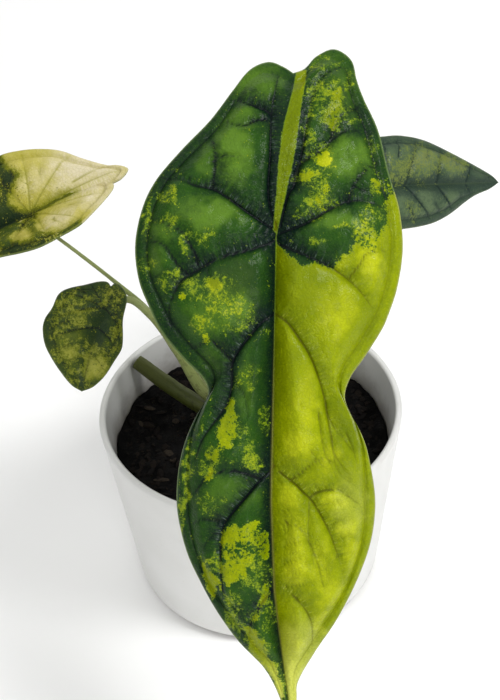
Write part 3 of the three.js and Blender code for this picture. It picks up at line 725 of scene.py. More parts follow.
frontLeaf = {
    "piece": "leaf_front",
    "node": "blade_front",
    "slot": "leaf_variegated",
    "fineness": 6,
    "columns": 66,
    "pucker": 1.0,
    "ragged": 1.0,
    "straightWithin": 2.2,
    "seat": (11.0, -61.1, 209.0),
    "lobesToward": (0.0576, 0.6417, 0.7648),
    "facing": (0, -0.766, 0.6428),
    "archTip": 0.001,
    "archLobes": 0.003,
    "fold": 0,
    "ribRise": 3.5,
    "droop": 3,
    "halfWidth": 38,
    "puff": 3,
    "midline": [
        (5, 48), (3.5, 33.5), (2, 18), (0, 0), (-0.5, -20), (-1, -49), (-1.5, -79),
        (-0.5, -106.5), (1, -119.5), (2.5, -131), (4, -142), (4.6, -154),
    ],
    "veinRoots": [0, 0, 0, 0, 0, 0, -24, -70, -73, -106, -128, -154],
    "rowsBetween": [3, 4, 4, 3, 4, 8, 5, 5, 4, 3, 4],
    "left": {
        "outline": [
            (5, 48), (2, 50), (-2.5, 51.5), (-8, 49), (-13, 42.5), (-19.5, 33.5), (-28, 24.5),
            (-35.5, 15.5), (-39.5, 7), (-41.5, -3.5), (-40.5, -13.5), (-37.5, -21.5), (-33.7, -29.2),
            (-27.3, -36.9), (-23.7, -40.4), (-21.2, -43.2), (-20.1, -46.3), (-20.9, -49.2),
            (-24.4, -55.2), (-27.5, -63), (-29.3, -72), (-29.5, -82.5), (-27, -94.5), (-23, -104),
            (-18, -113.5), (-11.5, -123), (-3, -132.5), (1.5, -142), (3.6, -150), (4.6, -154),
        ],
        "veinEnds": [0, 1.7, 5, 6.9, 9, 11.3, 18.8, 20.8, 23.6, 25.2, 26.4, 29],
        "veinBows": [
            (0, 0), (-3, 0), (0, 0), (-1, 5), (0, 0), (0, 7), (1, 1), (0, 9), (-9, 8), (-3, 2), (0, 0),
            (0, 0),
        ],
    },
    "right": {
        "outline": [
            (5, 48), (8.5, 49.5), (12, 53.5), (17.5, 56), (22.5, 52.5), (24, 46), (26, 40), (30, 30.5),
            (33, 17.5), (36, 7), (37, -4.5), (35.5, -15.5), (33, -23.5), (30.8, -28.5), (25.9, -36.3),
            (21.8, -42.2), (20.1, -48), (21.9, -53.2), (25.3, -59.5), (27.5, -66.4), (29.5, -79),
            (28.5, -91.5), (24.5, -104), (18.5, -116.5), (12.5, -126), (7, -136), (6.5, -142),
            (6, -150), (4.6, -154),
        ],
        "veinEnds": [0, 3.6, 7, 9, 10.2, 12.6, 19, 20.2, 22.5, 24.1, 24.9, 28],
        "veinBows": [
            (0, 0), (-5, 2), (-8, 10), (0, 8), (0, 0), (1, 4), (-1, 2), (0, 2), (9, 8), (6, 6), (0, 0),
            (0, 0),
        ],
    },
    "veins": [
        [(0, 1), (-2.5, 9.5), (-2, 22), (-1.5, 35), (0.5, 46.5)],
        [(0, 0), (-8, 5), (-13.5, 9), (-18.5, 12), (-23, 13), (-28, 15), (-33, 16)],
        [(0, -1.5), (-2.5, -3.5), (-8, -5.5), (-15.5, -7.5), (-21, -10), (-24, -12), (-28, -14.5),
         (-30.5, -19.5), (-31.5, -22.5), (-31, -28)],
        [(-1, -24), (-4.5, -26.5), (-8, -30.5), (-11, -34.5), (-13, -38.5), (-13, -43), (-13.5, -47),
         (-15, -51), (-19, -56.5), (-22, -61), (-24, -67)],
        [(-1.5, -70), (-5, -73), (-8.5, -77), (-11.5, -80.5), (-15, -85), (-16, -88), (-16.5, -92),
         (-16.5, -101.5), (-15.5, -107.5), (-12, -112)],
        [(-0.5, -106), (-4.5, -110.5), (-7.5, -116), (-8, -122.5)],
        [(1, 1.5), (3, 10), (5, 13.5), (7, 22), (10, 38), (13.5, 46), (19.5, 50)],
        [(1, -0.5), (8, 2), (15, 6), (20.5, 8.5), (26, 8.5), (31, 7)],
        [(0.5, -3.5), (4.5, -5.5), (8, -7), (15, -10.5), (20.5, -14), (24.5, -18), (28, -22.5)],
        [(-1, -23.5), (3, -26.5), (6, -30.5), (9.5, -36), (11.5, -41), (13, -45.5), (14, -49.5),
         (14.5, -53), (17, -57.5), (20, -61), (22.5, -64.5)],
        [(-1, -68.5), (1, -70.5), (5, -73.5), (7.5, -76), (10.5, -79), (13.5, -84), (16, -89),
         (18, -95), (19.5, -100), (20.5, -104)],
        [(-0.5, -105), (4, -107.5), (7.5, -110), (10, -114.5), (11, -119), (11, -124.5)],
        [(5, 13.5), (6, 19), (11.5, 22.5), (15.5, 26), (19, 29), (26, 30)],
        [(-1.7, 34.6), (-3.4, 35.8), (-5.5, 36.6), (-7.9, 37.7), (-9.9, 38.4), (-12, 39.4),
         (-13.5, 39.4)],
        [(9.7, -78.1), (10.9, -76.9), (12.9, -76), (15.3, -75.6), (17.7, -75.6), (19.5, -76.4),
         (21.6, -77.9), (23.8, -79.5), (25, -80.7)],
    ],
    "twigs": [
        [(-2.9, 32.7), (-5.8, 32.5), (-8.2, 31.3), (-10.5, 30.9), (-12.9, 31.4), (-15, 32.6)],
        [(-18.7, 12.2), (-18.3, 14.9), (-17.9, 17.9), (-17.9, 20.8), (-18.2, 23.9), (-18.8, 26.6),
         (-20, 28.7)],
        [(-22.8, -9.6), (-23.7, -6.8), (-24.9, -4.5), (-26.1, -2.4), (-27.2, -1), (-28.7, 0.5),
         (-30.8, 1.4), (-32.9, 2.3), (-34.3, 3.2)],
        [(-25.5, -12.7), (-27.3, -11.2), (-28.7, -9.8), (-30.2, -7.7), (-31.4, -5.9), (-32.6, -4.4),
         (-34.3, -3.3), (-37, -2.7)],
        [(-13, -37.5), (-16.5, -34), (-19.5, -31.5), (-21.5, -32.5), (-25, -34)],
        [(-4.5, -72.5), (-11, -70), (-16, -70), (-20, -71), (-24, -76.5)],
        [(-15, -85), (-18.5, -84.5), (-22.5, -84.5), (-24.5, -86)],
        [(15.5, 26.5), (17.5, 32.5), (21.5, 36), (24.5, 37)],
        [(20.5, 8), (22, 13), (26, 18), (29.5, 20.5)],
        [(20.5, -14), (24, -9.5), (26, -6.5), (32.5, -5.5)],
        [(14, -49.5), (15.5, -58), (16.5, -64), (20, -70)],
        [(1, -85), (5, -86), (9, -90), (12, -97), (14, -105)],
        [(4, -73), (10, -68), (14, -66), (18, -68)],
    ],
    "patches": [
        [  # the yellow half, below the sunken vein on the right
            (-0.2, -1), (-0.3, -2.3), (0.1, -3.8), (1.2, -4.8), (2.3, -5.8), (3.2, -7), (4.4, -8.1),
            (5.6, -8.7), (6.7, -9.9), (7.9, -10.3), (9.4, -9.9), (10.8, -9.4), (12.6, -9.7), (14.4, -10.4),
            (15.8, -10.8), (16.7, -10.1), (17.3, -8.6), (18.2, -7.9), (19.1, -7.2), (20.3, -6.6),
            (21.1, -5.4), (22, -5), (23.8, -3.9), (25.3, -3), (26.5, -2.4), (27.6, -2.9), (28.8, -2.1),
            (30, -0.9), (30, 0.5), (30.6, 1.1), (31.5, 2.3), (32.4, 3.2), (32.1, 4.7), (32.1, 6.4),
            (31.8, 8.2), (32.4, 10), (32.7, 11.2), (33.6, 12.7), (33.6, 14.5), (33.7, 16.2), (45, 18),
            (45, -160), (4.6, -160), (4.6, -154), (4, -142), (2.5, -131), (1, -119.5), (-0.5, -106.5),
            (-1.5, -79), (-1, -49), (-0.5, -20)],
        [  # the stripe beside the upper midline
            (6.1, 49), (5, 42.7), (3.6, 37.1), (2.4, 32.7), (1.4, 27.2), (0.6, 21.2), (0.2, 15.3),
            (-0.3, 9.4), (-0.7, 5), (-1, 0.6), (0, -0.6), (0.4, 1.8), (1.2, 5.3), (2.2, 9.4),
            (3.1, 13.5), (4.1, 17.7), (5, 22.5), (5.6, 26.4), (6.3, 31), (6.9, 35.9), (7.7, 40.5),
            (8.5, 45.3), (9, 49.1)],
        [(22, -5.4), (22, -3.1), (22, -1.6), (22.9, 0.5), (24.1, 1.7), (24.7, 3.1), (25.6, 2.3),
         (26.2, 1.1), (27.3, 1.4), (28.2, 0.2), (29.1, -0.9), (28.8, -2.7), (27.3, -3.9), (25.6, -5.1),
         (23.8, -5.7)],
        [(16.5, 41.6), (17.7, 42.9), (18.6, 42.6), (18.6, 40.7), (19.1, 38.6), (18.8, 36.1),
         (18.1, 33.6), (17.5, 30.8), (16.6, 28.7), (15.7, 29.9), (14.5, 31.1), (13.4, 32),
         (13.7, 34.1), (14.9, 36), (15.5, 38.5)],
        [(10.9, 20.2), (12.1, 22), (13.3, 23.2), (14.5, 24.1), (15.4, 23.2), (15, 22), (15.9, 20.8),
         (15, 19.3), (13.8, 18.5), (12.1, 18.7), (11.5, 19.6)],
        [(6.8, 16.5), (7.9, 17.4), (9.4, 17.5), (10.6, 16.6), (10.6, 15.7), (9.7, 15.1), (9.7, 13.9),
         (8.8, 13.6), (7.6, 14.5), (7.1, 14.5)],
        [(12.6, 12.1), (13.8, 12.8), (14.7, 12.2), (15, 11), (14.4, 10.1), (13.5, 10.7), (12.6, 11)],
        [(10.9, 9.5), (12, 9.2), (12.9, 8.3), (13.2, 7.1), (13.8, 6.3), (13.2, 6), (12.3, 6.8),
         (11.1, 7.4), (10.6, 8.6)],
        [(27.4, 14.4), (27.7, 15.3), (28.6, 15.6), (29.8, 15.3), (30.4, 14.1), (30.1, 12.6),
         (30.6, 11.7), (30.3, 10.9), (29.5, 11.1), (28.6, 12.3), (27.7, 12.9)],
        [(31.3, 13.8), (31.6, 15), (32.8, 15.6), (33.6, 14.5), (33.3, 12.4), (32.1, 11.5),
         (31.2, 12.3)],
        [(-13.5, -48.6), (-12.6, -48.6), (-12.6, -52.4), (-11.6, -53.3), (-11.6, -56.3), (-12, -58.3),
         (-12, -59.8), (-12.9, -60.4), (-12.9, -62.5), (-14.1, -63.1), (-15, -62.8), (-16.2, -63.7),
         (-16.8, -63.7), (-16.5, -62.5), (-16.8, -61), (-17.6, -59.9), (-17.3, -58.4), (-17, -56.3),
         (-16.1, -54.5), (-15, -52.4), (-14.1, -50.3)],
        [(-20.6, -64.7), (-19.7, -63.8), (-17.9, -63.7), (-17.1, -64), (-17.1, -66.1), (-18.3, -67),
         (-19.1, -66.8), (-20.3, -66.2)],
        [(-21.3, -73.4), (-21, -71.6), (-20.1, -70.7), (-19.8, -69.5), (-18.9, -68.9), (-18.6, -71),
         (-18.9, -72.2), (-20.4, -72.8)],
        [(-16, -88.6), (-15, -86.7), (-13.6, -86.1), (-12.1, -85.6), (-11.5, -86.4), (-10.6, -86.7),
         (-9.4, -85.4), (-8.2, -84.8), (-7, -84.6), (-5.5, -84.8), (-5.2, -86.3), (-6.4, -87.2),
         (-5.5, -88.5), (-4.3, -88.1), (-3.4, -88.4), (-2.5, -89), (-2.2, -92.7), (-2.2, -96.1),
         (-3.4, -96.4), (-5.2, -95.2), (-6.7, -94.3), (-7, -96.8), (-7.9, -97.4), (-9.1, -97.5),
         (-9.4, -99.6), (-8.8, -101.2), (-10, -101.8), (-10.9, -100.9), (-10.9, -102.2), (-13, -103.1),
         (-13.6, -104.1), (-14.5, -104.7), (-15.4, -103.8), (-15.7, -102.2), (-16.3, -101),
         (-16.6, -99.1), (-15.4, -97.9), (-15.1, -96.6), (-15.7, -95.1), (-16.3, -92.9),
         (-16.6, -90.7)],
        [(-22, -98), (-21.4, -99.2), (-20.5, -99.5), (-19.3, -100.7), (-18.1, -101.6), (-16.9, -103.2),
         (-16.3, -105.1), (-16.6, -106.3), (-17.2, -105.7), (-17.8, -105.1), (-18.2, -107),
         (-18.8, -108.6), (-19.4, -109.2), (-20, -107.7), (-20.6, -105.8), (-21.2, -103.9),
         (-22.1, -101.7), (-22.3, -99.8)],
        [(-5.5, -110.3), (-4.9, -109.3), (-4.3, -107.7), (-3.7, -106.1), (-3.4, -104.5),
         (-2.8, -104.9), (-2.8, -106.4), (-1.5, -106.4), (-2.1, -108), (-2.4, -109.6), (-3.3, -110.5),
         (-4.2, -111), (-5.2, -110.9)],
        [(-7.6, -114.4), (-6.4, -113.5), (-5.5, -113.4), (-5.8, -114.7), (-6.7, -115.7),
         (-7.6, -115.4)],
        [(-10, -118), (-8.5, -117.6), (-6.4, -117.9), (-5.7, -119.5), (-5.4, -120.8), (-3.3, -121.4),
         (-3.6, -124.3), (-3.3, -125.9), (-2.1, -128.2), (-0.2, -129.8), (0.1, -131.8), (0.7, -133.4),
         (1.6, -135.8), (2.3, -138.8), (2.9, -141.5), (1.4, -141.4), (0.4, -138.4), (-0.8, -135.8),
         (-2.7, -132.8), (-4.8, -130.2), (-7.3, -128), (-8.2, -126.1), (-7.9, -124.4), (-8.5, -121.8),
         (-9.4, -119.6)],
        [(-21.1, -14.2), (-18.7, -13.6), (-17, -14.2), (-15.2, -16), (-16.4, -17.4), (-18.7, -17.7),
         (-20.2, -16.5)],
        [(-28.1, -18), (-27, -17.7), (-26.4, -19.1), (-27.3, -20), (-28.4, -19.4)],
        [(-21.7, -29.7), (-20.5, -29.4), (-19.9, -30.9), (-20.5, -32.4), (-21.7, -31.8)],
    ],
    "flecks": [
        (15.8, 37.9, 5.1, 9.2, 0.55, 12), (14.6, 52.4, 2.7, 2.2, 0.45), (22, 46.8, 1.5, 3.8, 0.35),
        (13.6, 21.4, 4.2, 3.2, 0.58), (8.2, 15.7, 3.2, 3.4, 0.5), (14.1, 11.3, 2.4, 2.2, 0.4),
        (11.7, 8.6, 4.7, 4.1, 0.6), (12.6, 14.8, 2.4, 2.9, 0.62), (29.2, 13.2, 2.3, 2.7, 0.6),
        (28.6, 18.3, 1.2, 2.1, 0.5), (27.8, 25.8, 1.5, 2.4, 0.45), (27.5, 4.5, 3.6, 3.6, 0.7),
        (22.5, 1.5, 2, 2.6, 0.6), (17.2, 31, 2.6, 3.6, 0.55), (17.3, 0.1, 2.4, 1.1, 0.62),
        (11.4, -4, 2.4, 0.9, 0.5), (6.7, 5.6, 2.4, 2, 0.42), (21, 44.6, 2.4, 1.9, 0.62),
        (13.5, 42.2, 3, 2.5, 0.6), (10.2, 38.4, 1.5, 6.2, 0.5), (12.4, 49.8, 3.6, 1.9, 0.5),
        (17.9, 51.9, 3, 1.3, 0.4), (9.2, 27.4, 1.8, 7.3, 0.45), (22.3, 33.7, 1.5, 2.5, 0.35),
        (-31.7, 10, 2.7, 3, 0.65), (-31.1, 2.9, 3, 2.4, 0.62), (-22.5, -1, 3.8, 2.3, 0.55),
        (-26.9, -3.6, 1.1, 3.5, 0.7), (-35.5, -8, 1.8, 2, 0.62), (-29, -12.7, 1.5, 1.4, 0.62),
        (-32.9, -14.7, 3, 2.4, 0.52), (-30.8, 18.3, 1.4, 1.5, 0.4), (-35.6, 13.9, 1.5, 2.4, 0.45),
        (-37.9, 5, 1.3, 6.5, 0.62), (-39, -9, 1.2, 3, 0.6), (-21.1, -15.9, 7.1, 2.7, 0.85),
        (-15.5, -20.6, 9, 4.2, 0.62, -28), (-18, -18.5, 3, 2, 0.85), (-10.2, -23, 2.3, 2.9, 0.5),
        (-21.7, -26.8, 3.6, 2.3, 0.7), (-12.6, -26.8, 4.1, 2.9, 0.5), (-7.6, -42.3, 3, 3.9, 0.5),
        (-11.7, -43.5, 1.2, 1.8, 0.55), (-3.2, -30, 0.9, 1.8, 0.5), (-10.2, -56.8, 1.7, 2.4, 0.5),
        (-9.4, -62.8, 2.7, 2.4, 0.6), (-18.8, -65.2, 2.3, 3.1, 0.8), (-20.1, -69.5, 2.7, 2.4, 0.7),
        (-7.6, -67, 2.7, 2.4, 0.7), (-5.2, -69, 1.8, 1.8, 0.5), (-13.8, -66.4, 2.4, 1.8, 0.42),
        (-3.5, -52.7, 1.2, 2.9, 0.5), (-3.2, -55.9, 1.2, 2.4, 0.45), (-26.3, -64.4, 0.9, 2.4, 0.7),
        (-26, -69.5, 1.5, 4.2, 0.8), (-27, -75.9, 1.5, 3, 0.8), (-22.7, -58.1, 0.9, 2.4, 0.5),
        (-25.7, -60.2, 1.5, 2.1, 0.45), (-27.6, -79.8, 1.2, 3.1, 0.8), (-27.7, -86.6, 0.9, 3.1, 0.55),
        (-19.3, -97, 2.7, 2.5, 0.8), (-12.7, -109.1, 3, 3.8, 0.62), (-5.8, -104.6, 4.2, 1.9, 0.62),
        (-6.7, -114.1, 1.9, 1.3, 0.7), (-12.7, -115.2, 3, 3.2, 0.6), (-2.1, -113.7, 2.4, 4.5, 0.5),
        (-11.8, -120, 1.8, 3.2, 0.55), (-5, -124, 3.6, 5, 0.62), (-3, -130.2, 4.3, 1.6, 0.7, -25),
        (2, -137.4, 1.2, 3.4, 0.75), (-6, -99.5, 5, 4, 0.66), (-19.5, -79.5, 4.5, 3.5, 0.42),
        (1, -142, 3, 9, 0.7),
    ],
    "mottled": [
        (-10.5, -93.5, 5.5, 3.8, 0.85), (-5, -91, 3.5, 5, 0.65), (-9.5, -88, 4, 3, 0.5),
        (-13, -99, 3, 2, 0.4), (-13.6, -56.5, 2, 6, 0.5, -15), (-19, -65.4, 2.4, 2.2, 0.6),
        (25.6, -0.6, 5, 4.5, 0.6, 30), (25, -4.2, 3.6, 2, 0.85, -30), (27.5, 5, 4.5, 4, 0.75),
        (16.5, 36, 3, 7, 0.5), (29.3, 13.2, 2.6, 2.7, 0.62), (32.4, 13.4, 2, 2.6, 0.8),
    ],
    # paler tissue, and painted highlights on the crests of the puffs
    "paleAndHighlightSpots": [
        (-6, 45, 8, 6, 0.6), (14, 52, 6, 4, 0.3), (4.5, -146, 6, 18, 0.9), (-10, 34, 5, 3.5, 0.6),
        (-13, 22, 5, 9, 0.85), (-21, 21, 3, 6, 0.4), (-20, 5, 9, 4, 0.8),
        (-33, -0.5, 4, 2.4, 0.55, -25), (-35, -8, 3.4, 4.5, 0.4), (-12, -15, 6, 6, 0.4),
        (-12, -21.5, 7, 5, 0.85, -20), (-18, -25, 7, 5, 0.5), (20, 42, 5, 8, 0.35),
        (21, 21, 6.5, 6, 0.85), (18, 3, 7, 3, 0.7), (-9, -45, 3, 7, 0.4), (-13, -76, 8, 4, 0.4),
        (-18, -36, 4, 5, 0.3), (9, -19.5, 6, 3.5, 0.25, -30), (15, -24, 3.6, 7, 0.55, 30),
        (20, -20.6, 3.5, 5.9, 0.5, 20), (26.8, -8.6, 3.5, 5, 0.7), (15.5, -10.4, 4.8, 2.3, 0.4),
        (5, -103, 3, 2, 0.5, -20), (8.6, -47.7, 3, 8.8, 0.5), (6.9, -61, 4.1, 4.2, 0.6),
        (15.8, -65.5, 3, 3.6, 0.5), (4.6, -78.1, 3, 3, 0.5), (15.9, -77.9, 4.2, 2.4, 0.7),
        (20.6, -87.4, 3, 2.5, 0.6), (5.6, -89.7, 3, 6.8, 0.5), (7.1, -99, 3.7, 3.1, 0.6),
        (13.2, -97.5, 2.4, 6.3, 0.4), (22.2, -93.9, 1.8, 4.4, 0.5), (4.3, -122.7, 3.1, 6.5, 0.5),
        (16.3, -107, 3, 4.4, 0.5), (12.8, -117.1, 1.8, 5.1, 0.5), (22.2, -47.7, 1.5, 3.5, 0.3),
    ],
    "smoothed": [(3.8, 26, 4, 45, 0.75, -8)],
    "bleached": [
        (5.5, -152, 9, 26, 1.0), (8, -128, 7, 12, 0.45), (0, -146, 4, 14, 0.8), (22, -80, 5, 8, 0.25),
    ],
    "seamless": [(-8, 47, 15, 8, 0.9), (14.5, 53, 9, 5, 0.75)],
    # painted shade patches
    "paintedShadeSpots": [
        (6, -16, 12, 12, 0.6), (3.4, 30, 4, 24, 0.85, -9), (20, -55, 2.6, 9, 0.7, 25),
        (17, 37, 4, 9, 0.75), (-19, -65.5, 3, 3, 0.6), (-4, -92, 2.6, 7, 0.7),
        (24, -25, 4, 12, 0.3, 25), (-12, -14, 9, 6, 0.75), (-3, -42, 4, 30, 0.6),
        (-14, -46, 5, 12, 0.5), (8, -41, 8, 9, 0.35), (-27, 22, 6, 3.5, 0.4, 50), (-4, 12, 3, 12, 0.4),
    ],
    "greens": [],
    "creases": [
        [(11.9, -52.7), (12.5, -56.6), (13.1, -61), (14.3, -65.5), (16.2, -68.8), (17.4, -71.9),
         (17.7, -74.9)],
        [(16.1, -59.8), (16.4, -64), (17.3, -68.5), (18.9, -71.3), (21.3, -73.1), (23.1, -74.3)],
        [(9.9, -64), (11.7, -66.4), (13.5, -68.5), (15.3, -70.6)],
        [(20.2, -58.7), (21.8, -62), (23, -65.6), (23.9, -68.9)],
        [(2.1, -105.2), (4.2, -104.9), (6.6, -104.3), (9, -103.7), (10.8, -102.8)],
        [(9.7, -78.1), (9.4, -81.2), (9.4, -84.5), (9.2, -88.2), (9.8, -91.9), (10.4, -95.3),
         (11.4, -99.4)],
        [(17, -91.4), (18.5, -90.2), (20.6, -89.6), (22.7, -89.6)],
        [(15.8, -87.4), (17.5, -85.2), (19.6, -84.3), (22, -85)],
        [(17.7, -96.3), (19.2, -95.1), (21.3, -94.2), (23.4, -93.9)],
        [(12.4, -81.5), (14.2, -80), (16.3, -79.4), (18.7, -80)],
        [(2.3, -92.7), (4.1, -91.2), (6.5, -90.6), (8.6, -91.6)],
        [(2.3, -98), (4.4, -96.5), (6.8, -96.2), (9.2, -97.1)],
        [(1.9, -82), (3.7, -81.4), (5.8, -82.3), (7.3, -83.9)],
        [(2.3, -87.5), (4.1, -86.3), (6.1, -86), (7.9, -87.3)],
        [(11.9, -93.8), (13.4, -96.3), (14.7, -99.4), (15, -103.2)],
        [(-18.5, 20), (-15, 22), (-11, 21)],
        [(-28.4, -15.3), (-29.9, -13.9), (-31.7, -12.7), (-33.7, -12.4), (-35.8, -13.2)],
        [(-21.4, -9.8), (-20.5, -11.8), (-19.3, -14.2)],
        [(-13, -43), (-9.5, -47.5), (-8.5, -54)],
        [(-16, -88), (-20, -90.5), (-22.5, -95)],
        [(22, 13), (26, 11.5), (29.5, 12)],
    ],
}

for rank in veinRanks:
    frontLeaf[rank] = [softLine(line) for line in frontLeaf[rank]]
makeLeaf(frontLeaf, leafMaterial("leaf_variegated", leafColours))
print("large leaf made")


# The small leaves

smallLeaf = {
    "fineness": 5, "columns": 28, "pucker": 0.6, "ragged": 0.9, "straightWithin": 0.1, "fold": 0,
    "smoothed": [], "bleached": [], "seamless": [], "paintedShadeSpots": [], "creases": [], "greens": [],
}
smallColours = dict(leafColours, roughness=0.46)


def makeSmallLeaf(leaf, colours):
    leaf["veins"] = rowVeins(leaf)
    leaf["twigs"] = rowVeins(leaf, 0.5, 0.55)
    makeLeaf(leaf, leafMaterial(leaf["slot"], colours))
    print(leaf["piece"], "made")


# The left leaf, mostly cream

leftLeaf = {
    **smallLeaf,
    "piece": "leaf_left",
    "node": "blade_left",
    "slot": "leaf_cream",
    "seat": (-79.7, 36.0, 156.7),
    "lobesToward": (0.942, 0.125, 0.31),
    "facing": (-0.251, -0.351, 0.902),
    "archTip": 0.003,
    "archLobes": 0.002,
    "fold": 0.45,
    "ribRise": 1.2,
    "droop": 1,
    "halfWidth": 24,
    "puff": 1.6,
    "midline": [(-0.9, 33.8), (-0.5, 15), (0, 0), (0.5, -30), (0.5, -60), (0, -88)],
    "veinRoots": [0, 0, 0, 0, 0, -14, -36, -58, -88],
    "rowsBetween": [3, 3, 3, 3, 4, 3, 3, 5],
    "left": {
        "outline": [
            (-0.9, 33.8), (-1.6, 37.5), (-4.2, 41), (-6.5, 38.2), (-8, 33.7), (-13.4, 25.7), (-18.3, 19.5),
            (-21.5, 12.5), (-23.7, 5), (-24.9, -3.1), (-23.8, -11.5), (-20.5, -20), (-17.5, -27),
            (-17.2, -34), (-18.5, -43), (-17.5, -52), (-13.5, -62), (-8.2, -72), (-3, -80.5), (0, -88),
        ],
        "veinEnds": [0, 2, 5.5, 8, 10, 14, 15.3, 16.6, 19],
        "veinBows": [(0, 0), (-1, 1), (-1, 2), (0, 3), (0, 2), (0, 1), (-2, 3), (-2, 2), (0, 0)],
    },
    "right": {
        "outline": [
            (-0.9, 33.8), (1.2, 34), (3.6, 33.4), (6.4, 31.8), (10.5, 28.8), (16.1, 24), (20.4, 19.5),
            (22.6, 13), (24.3, 4), (22.6, -4), (19.3, -12.2), (17.2, -20), (16.5, -27), (17, -35),
            (18, -44), (16.5, -54), (12.5, -64), (7.5, -73), (3, -81), (0, -88),
        ],
        "veinEnds": [0, 2.5, 5.5, 7.6, 9.6, 14, 15.3, 16.6, 19],
        "veinBows": [(0, 0), (1, 1), (1, 2), (0, 3), (0, 2), (0, 1), (2, 3), (2, 2), (0, 0)],
    },
    "paintedShadeSpots": [(-12, -8, 9, 6, 0.8), (-3, -18, 8, 8, 0.4)],
    "greens": [
        [(-26, -3), (-19, -1.5), (-15.6, 0.6), (-13.7, 2.6), (-11.9, -0.4), (-8.3, -4), (-5, -5),
         (-2.2, -2), (-0.8, 6), (-1.5, 12), (-1.6, 17), (-0.6, 20), (0.3, 17), (0.7, 12), (1.4, 8),
         (1.6, 3), (4, 4), (7.5, 2.5), (10, 4), (13, 3), (16.5, 4.5), (19, 8), (20.3, 13), (18.8, 17.5),
         (17.5, 20.5), (20, 21), (24, 15), (27, 5), (26, -8), (24, -24), (12, -30), (8, -42),
         (0.6, -50), (-6, -30), (-12, -26), (-22, -20)],
        [(-20, -36), (-9, -44), (-6, -56), (-12, -66), (-22, -50)],
        [(6, -60), (14, -58), (10, -70), (3, -82), (1, -76)],
    ],
    "patches": [
        [(10.5, -5), (10.5, -1.5), (13, 0.8), (17, 2.2), (19, 1.5), (18, -2), (15, -6), (12.5, -7.5)],
    ],
    "flecks": [
        (12, -14, 8, 5, 0.5), (8, -34, 6, 8, 0.6), (-8, -40, 8, 10, 0.5), (6, 0, 7, 6, 0.45),
        (-14, -8, 6, 4, 0.4), (21, 8, 4, 9, 0.35),
    ],
    "mottled": [
        (-12, 0, 8, 5, 0.3), (14, 9, 8, 5, 0.25), (-4, -30, 10, 12, 0.5), (0, -66, 9, 12, 0.5),
        (0, 12, 6, 10, 0.2),
    ],
    "paleAndHighlightSpots": [(-8, 28, 14, 16, 1.0), (6, 29, 8, 8, 0.9), (13, 13, 6, 7, 0.7), (-9, 8, 5, 8, 0.6)],
}

creamColours = dict(
    smallColours,
    deepGreen=(20, 36, 20),
    green=(56, 72, 22),
    paleGreen=(92, 106, 30),
    olive=(116, 120, 14),
    deepYellow=(156, 150, 44),
    yellow=(186, 176, 94),
    paleYellow=(210, 200, 168),
    yellowVein=(140, 138, 56),
    greenVein=(14, 26, 18),
    rim=(200, 194, 150),
    backYellow=(184, 180, 118),
    paintedGlintShare=0.15,
    band=2.2,
    halo=3.0,
    greenRim=(120, 130, 70),
    seam=(130, 126, 60),
)
makeSmallLeaf(leftLeaf, creamColours)


# The low leaf on the left, mottled olive

lowLeaf = {
    **smallLeaf,
    "piece": "leaf_low_left",
    "node": "blade_low_left",
    "slot": "leaf_mottled",
    "columns": 26,
    "seat": (-52.6, 5.9, 133.2),
    "lobesToward": (0.284, 0.78, 0.558),
    "facing": (0.07, -0.597, 0.799),
    "archTip": 0.004,
    "archLobes": 0.01,
    "ribRise": 1.3,
    "droop": 2,
    "halfWidth": 18,
    "puff": 1.2,
    "midline": [(0.2, 9), (0, 0), (-0.5, -15), (-0.3, -32)],
    "veinRoots": [0, 0, 0, 0, -8, -18, -32],
    "rowsBetween": [3, 3, 3, 4, 4, 5],
    "left": {
        "outline": [
            (0.2, 9), (-1.6, 10.4), (-4.6, 9.9), (-9.6, 7.3), (-14.8, 4.9), (-18, 1.8), (-19, -4),
            (-20.5, -8.6), (-20.2, -13), (-17.5, -18.8), (-11.6, -25), (-5, -30.2), (-0.3, -32),
        ],
        "veinEnds": [0, 2.6, 5, 7.4, 8.8, 10.1, 12],
        "veinBows": [(0, 0), (-1, 1), (-1, 2), (0, 2), (-1, 2), (-1, 1), (0, 0)],
    },
    "right": {
        "outline": [
            (0.2, 9), (1.6, 10.8), (4.6, 9.6), (7.2, 5.8), (7.8, -2.2), (9.5, -8.6), (10.1, -13.2),
            (8.6, -18.4), (6.5, -24.6), (3.3, -29.4), (-0.3, -32),
        ],
        "veinEnds": [0, 2, 3.4, 5, 6.4, 7.9, 10],
        "veinBows": [(0, 0), (0, 1), (0, 1), (0, 2), (1, 1), (1, 1), (0, 0)],
    },
    "patches": [
        [(0.5, -19.8), (3.5, -17.8), (6.5, -19), (7.2, -21.5), (5, -25.4), (2, -27.5), (-0.8, -26),
         (0, -22.5)],
        [(-10.5, -19.5), (-8, -17.5), (-5.2, -18.8), (-6.5, -21.8), (-9.5, -21.5)],
    ],
    "flecks": [
        (3, -21, 7, 7, 0.8), (-8.5, -20, 7, 5, 0.62), (-11, -4, 8, 8, 0.62), (1, 4, 5, 5, 0.62),
        (-14, -12, 4, 6, 0.5), (8, -7, 3, 9, 0.5), (-2, -28, 6, 4, 0.45), (-5, -13, 5, 3, 0.3),
    ],
    "mottled": [(3, -20, 6, 5, 0.35), (-9, -21, 5, 4, 0.35)],
    "paleAndHighlightSpots": [(-11, -4, 7, 7, 0.9), (1, 5, 5, 4, 0.7), (3, -21, 6, 6, 0.8), (-10, -18, 7, 7, 0.6)],
}

oliveColours = dict(
    smallColours,
    deepGreen=(36, 54, 30),
    green=(74, 90, 28),
    paleGreen=(102, 114, 36),
    olive=(106, 116, 30),
    deepYellow=(116, 122, 34),
    yellow=(146, 150, 52),
    paleYellow=(164, 164, 74),
    yellowVein=(84, 90, 28),
    greenVein=(24, 36, 26),
    rim=(110, 118, 66),
    paintedGlintShare=0.12,
    band=1.6,
    halo=1.2,
    greenRim=(92, 104, 60),
    seam=(70, 78, 34),
)
makeSmallLeaf(lowLeaf, oliveColours)


# The right leaf, grey green

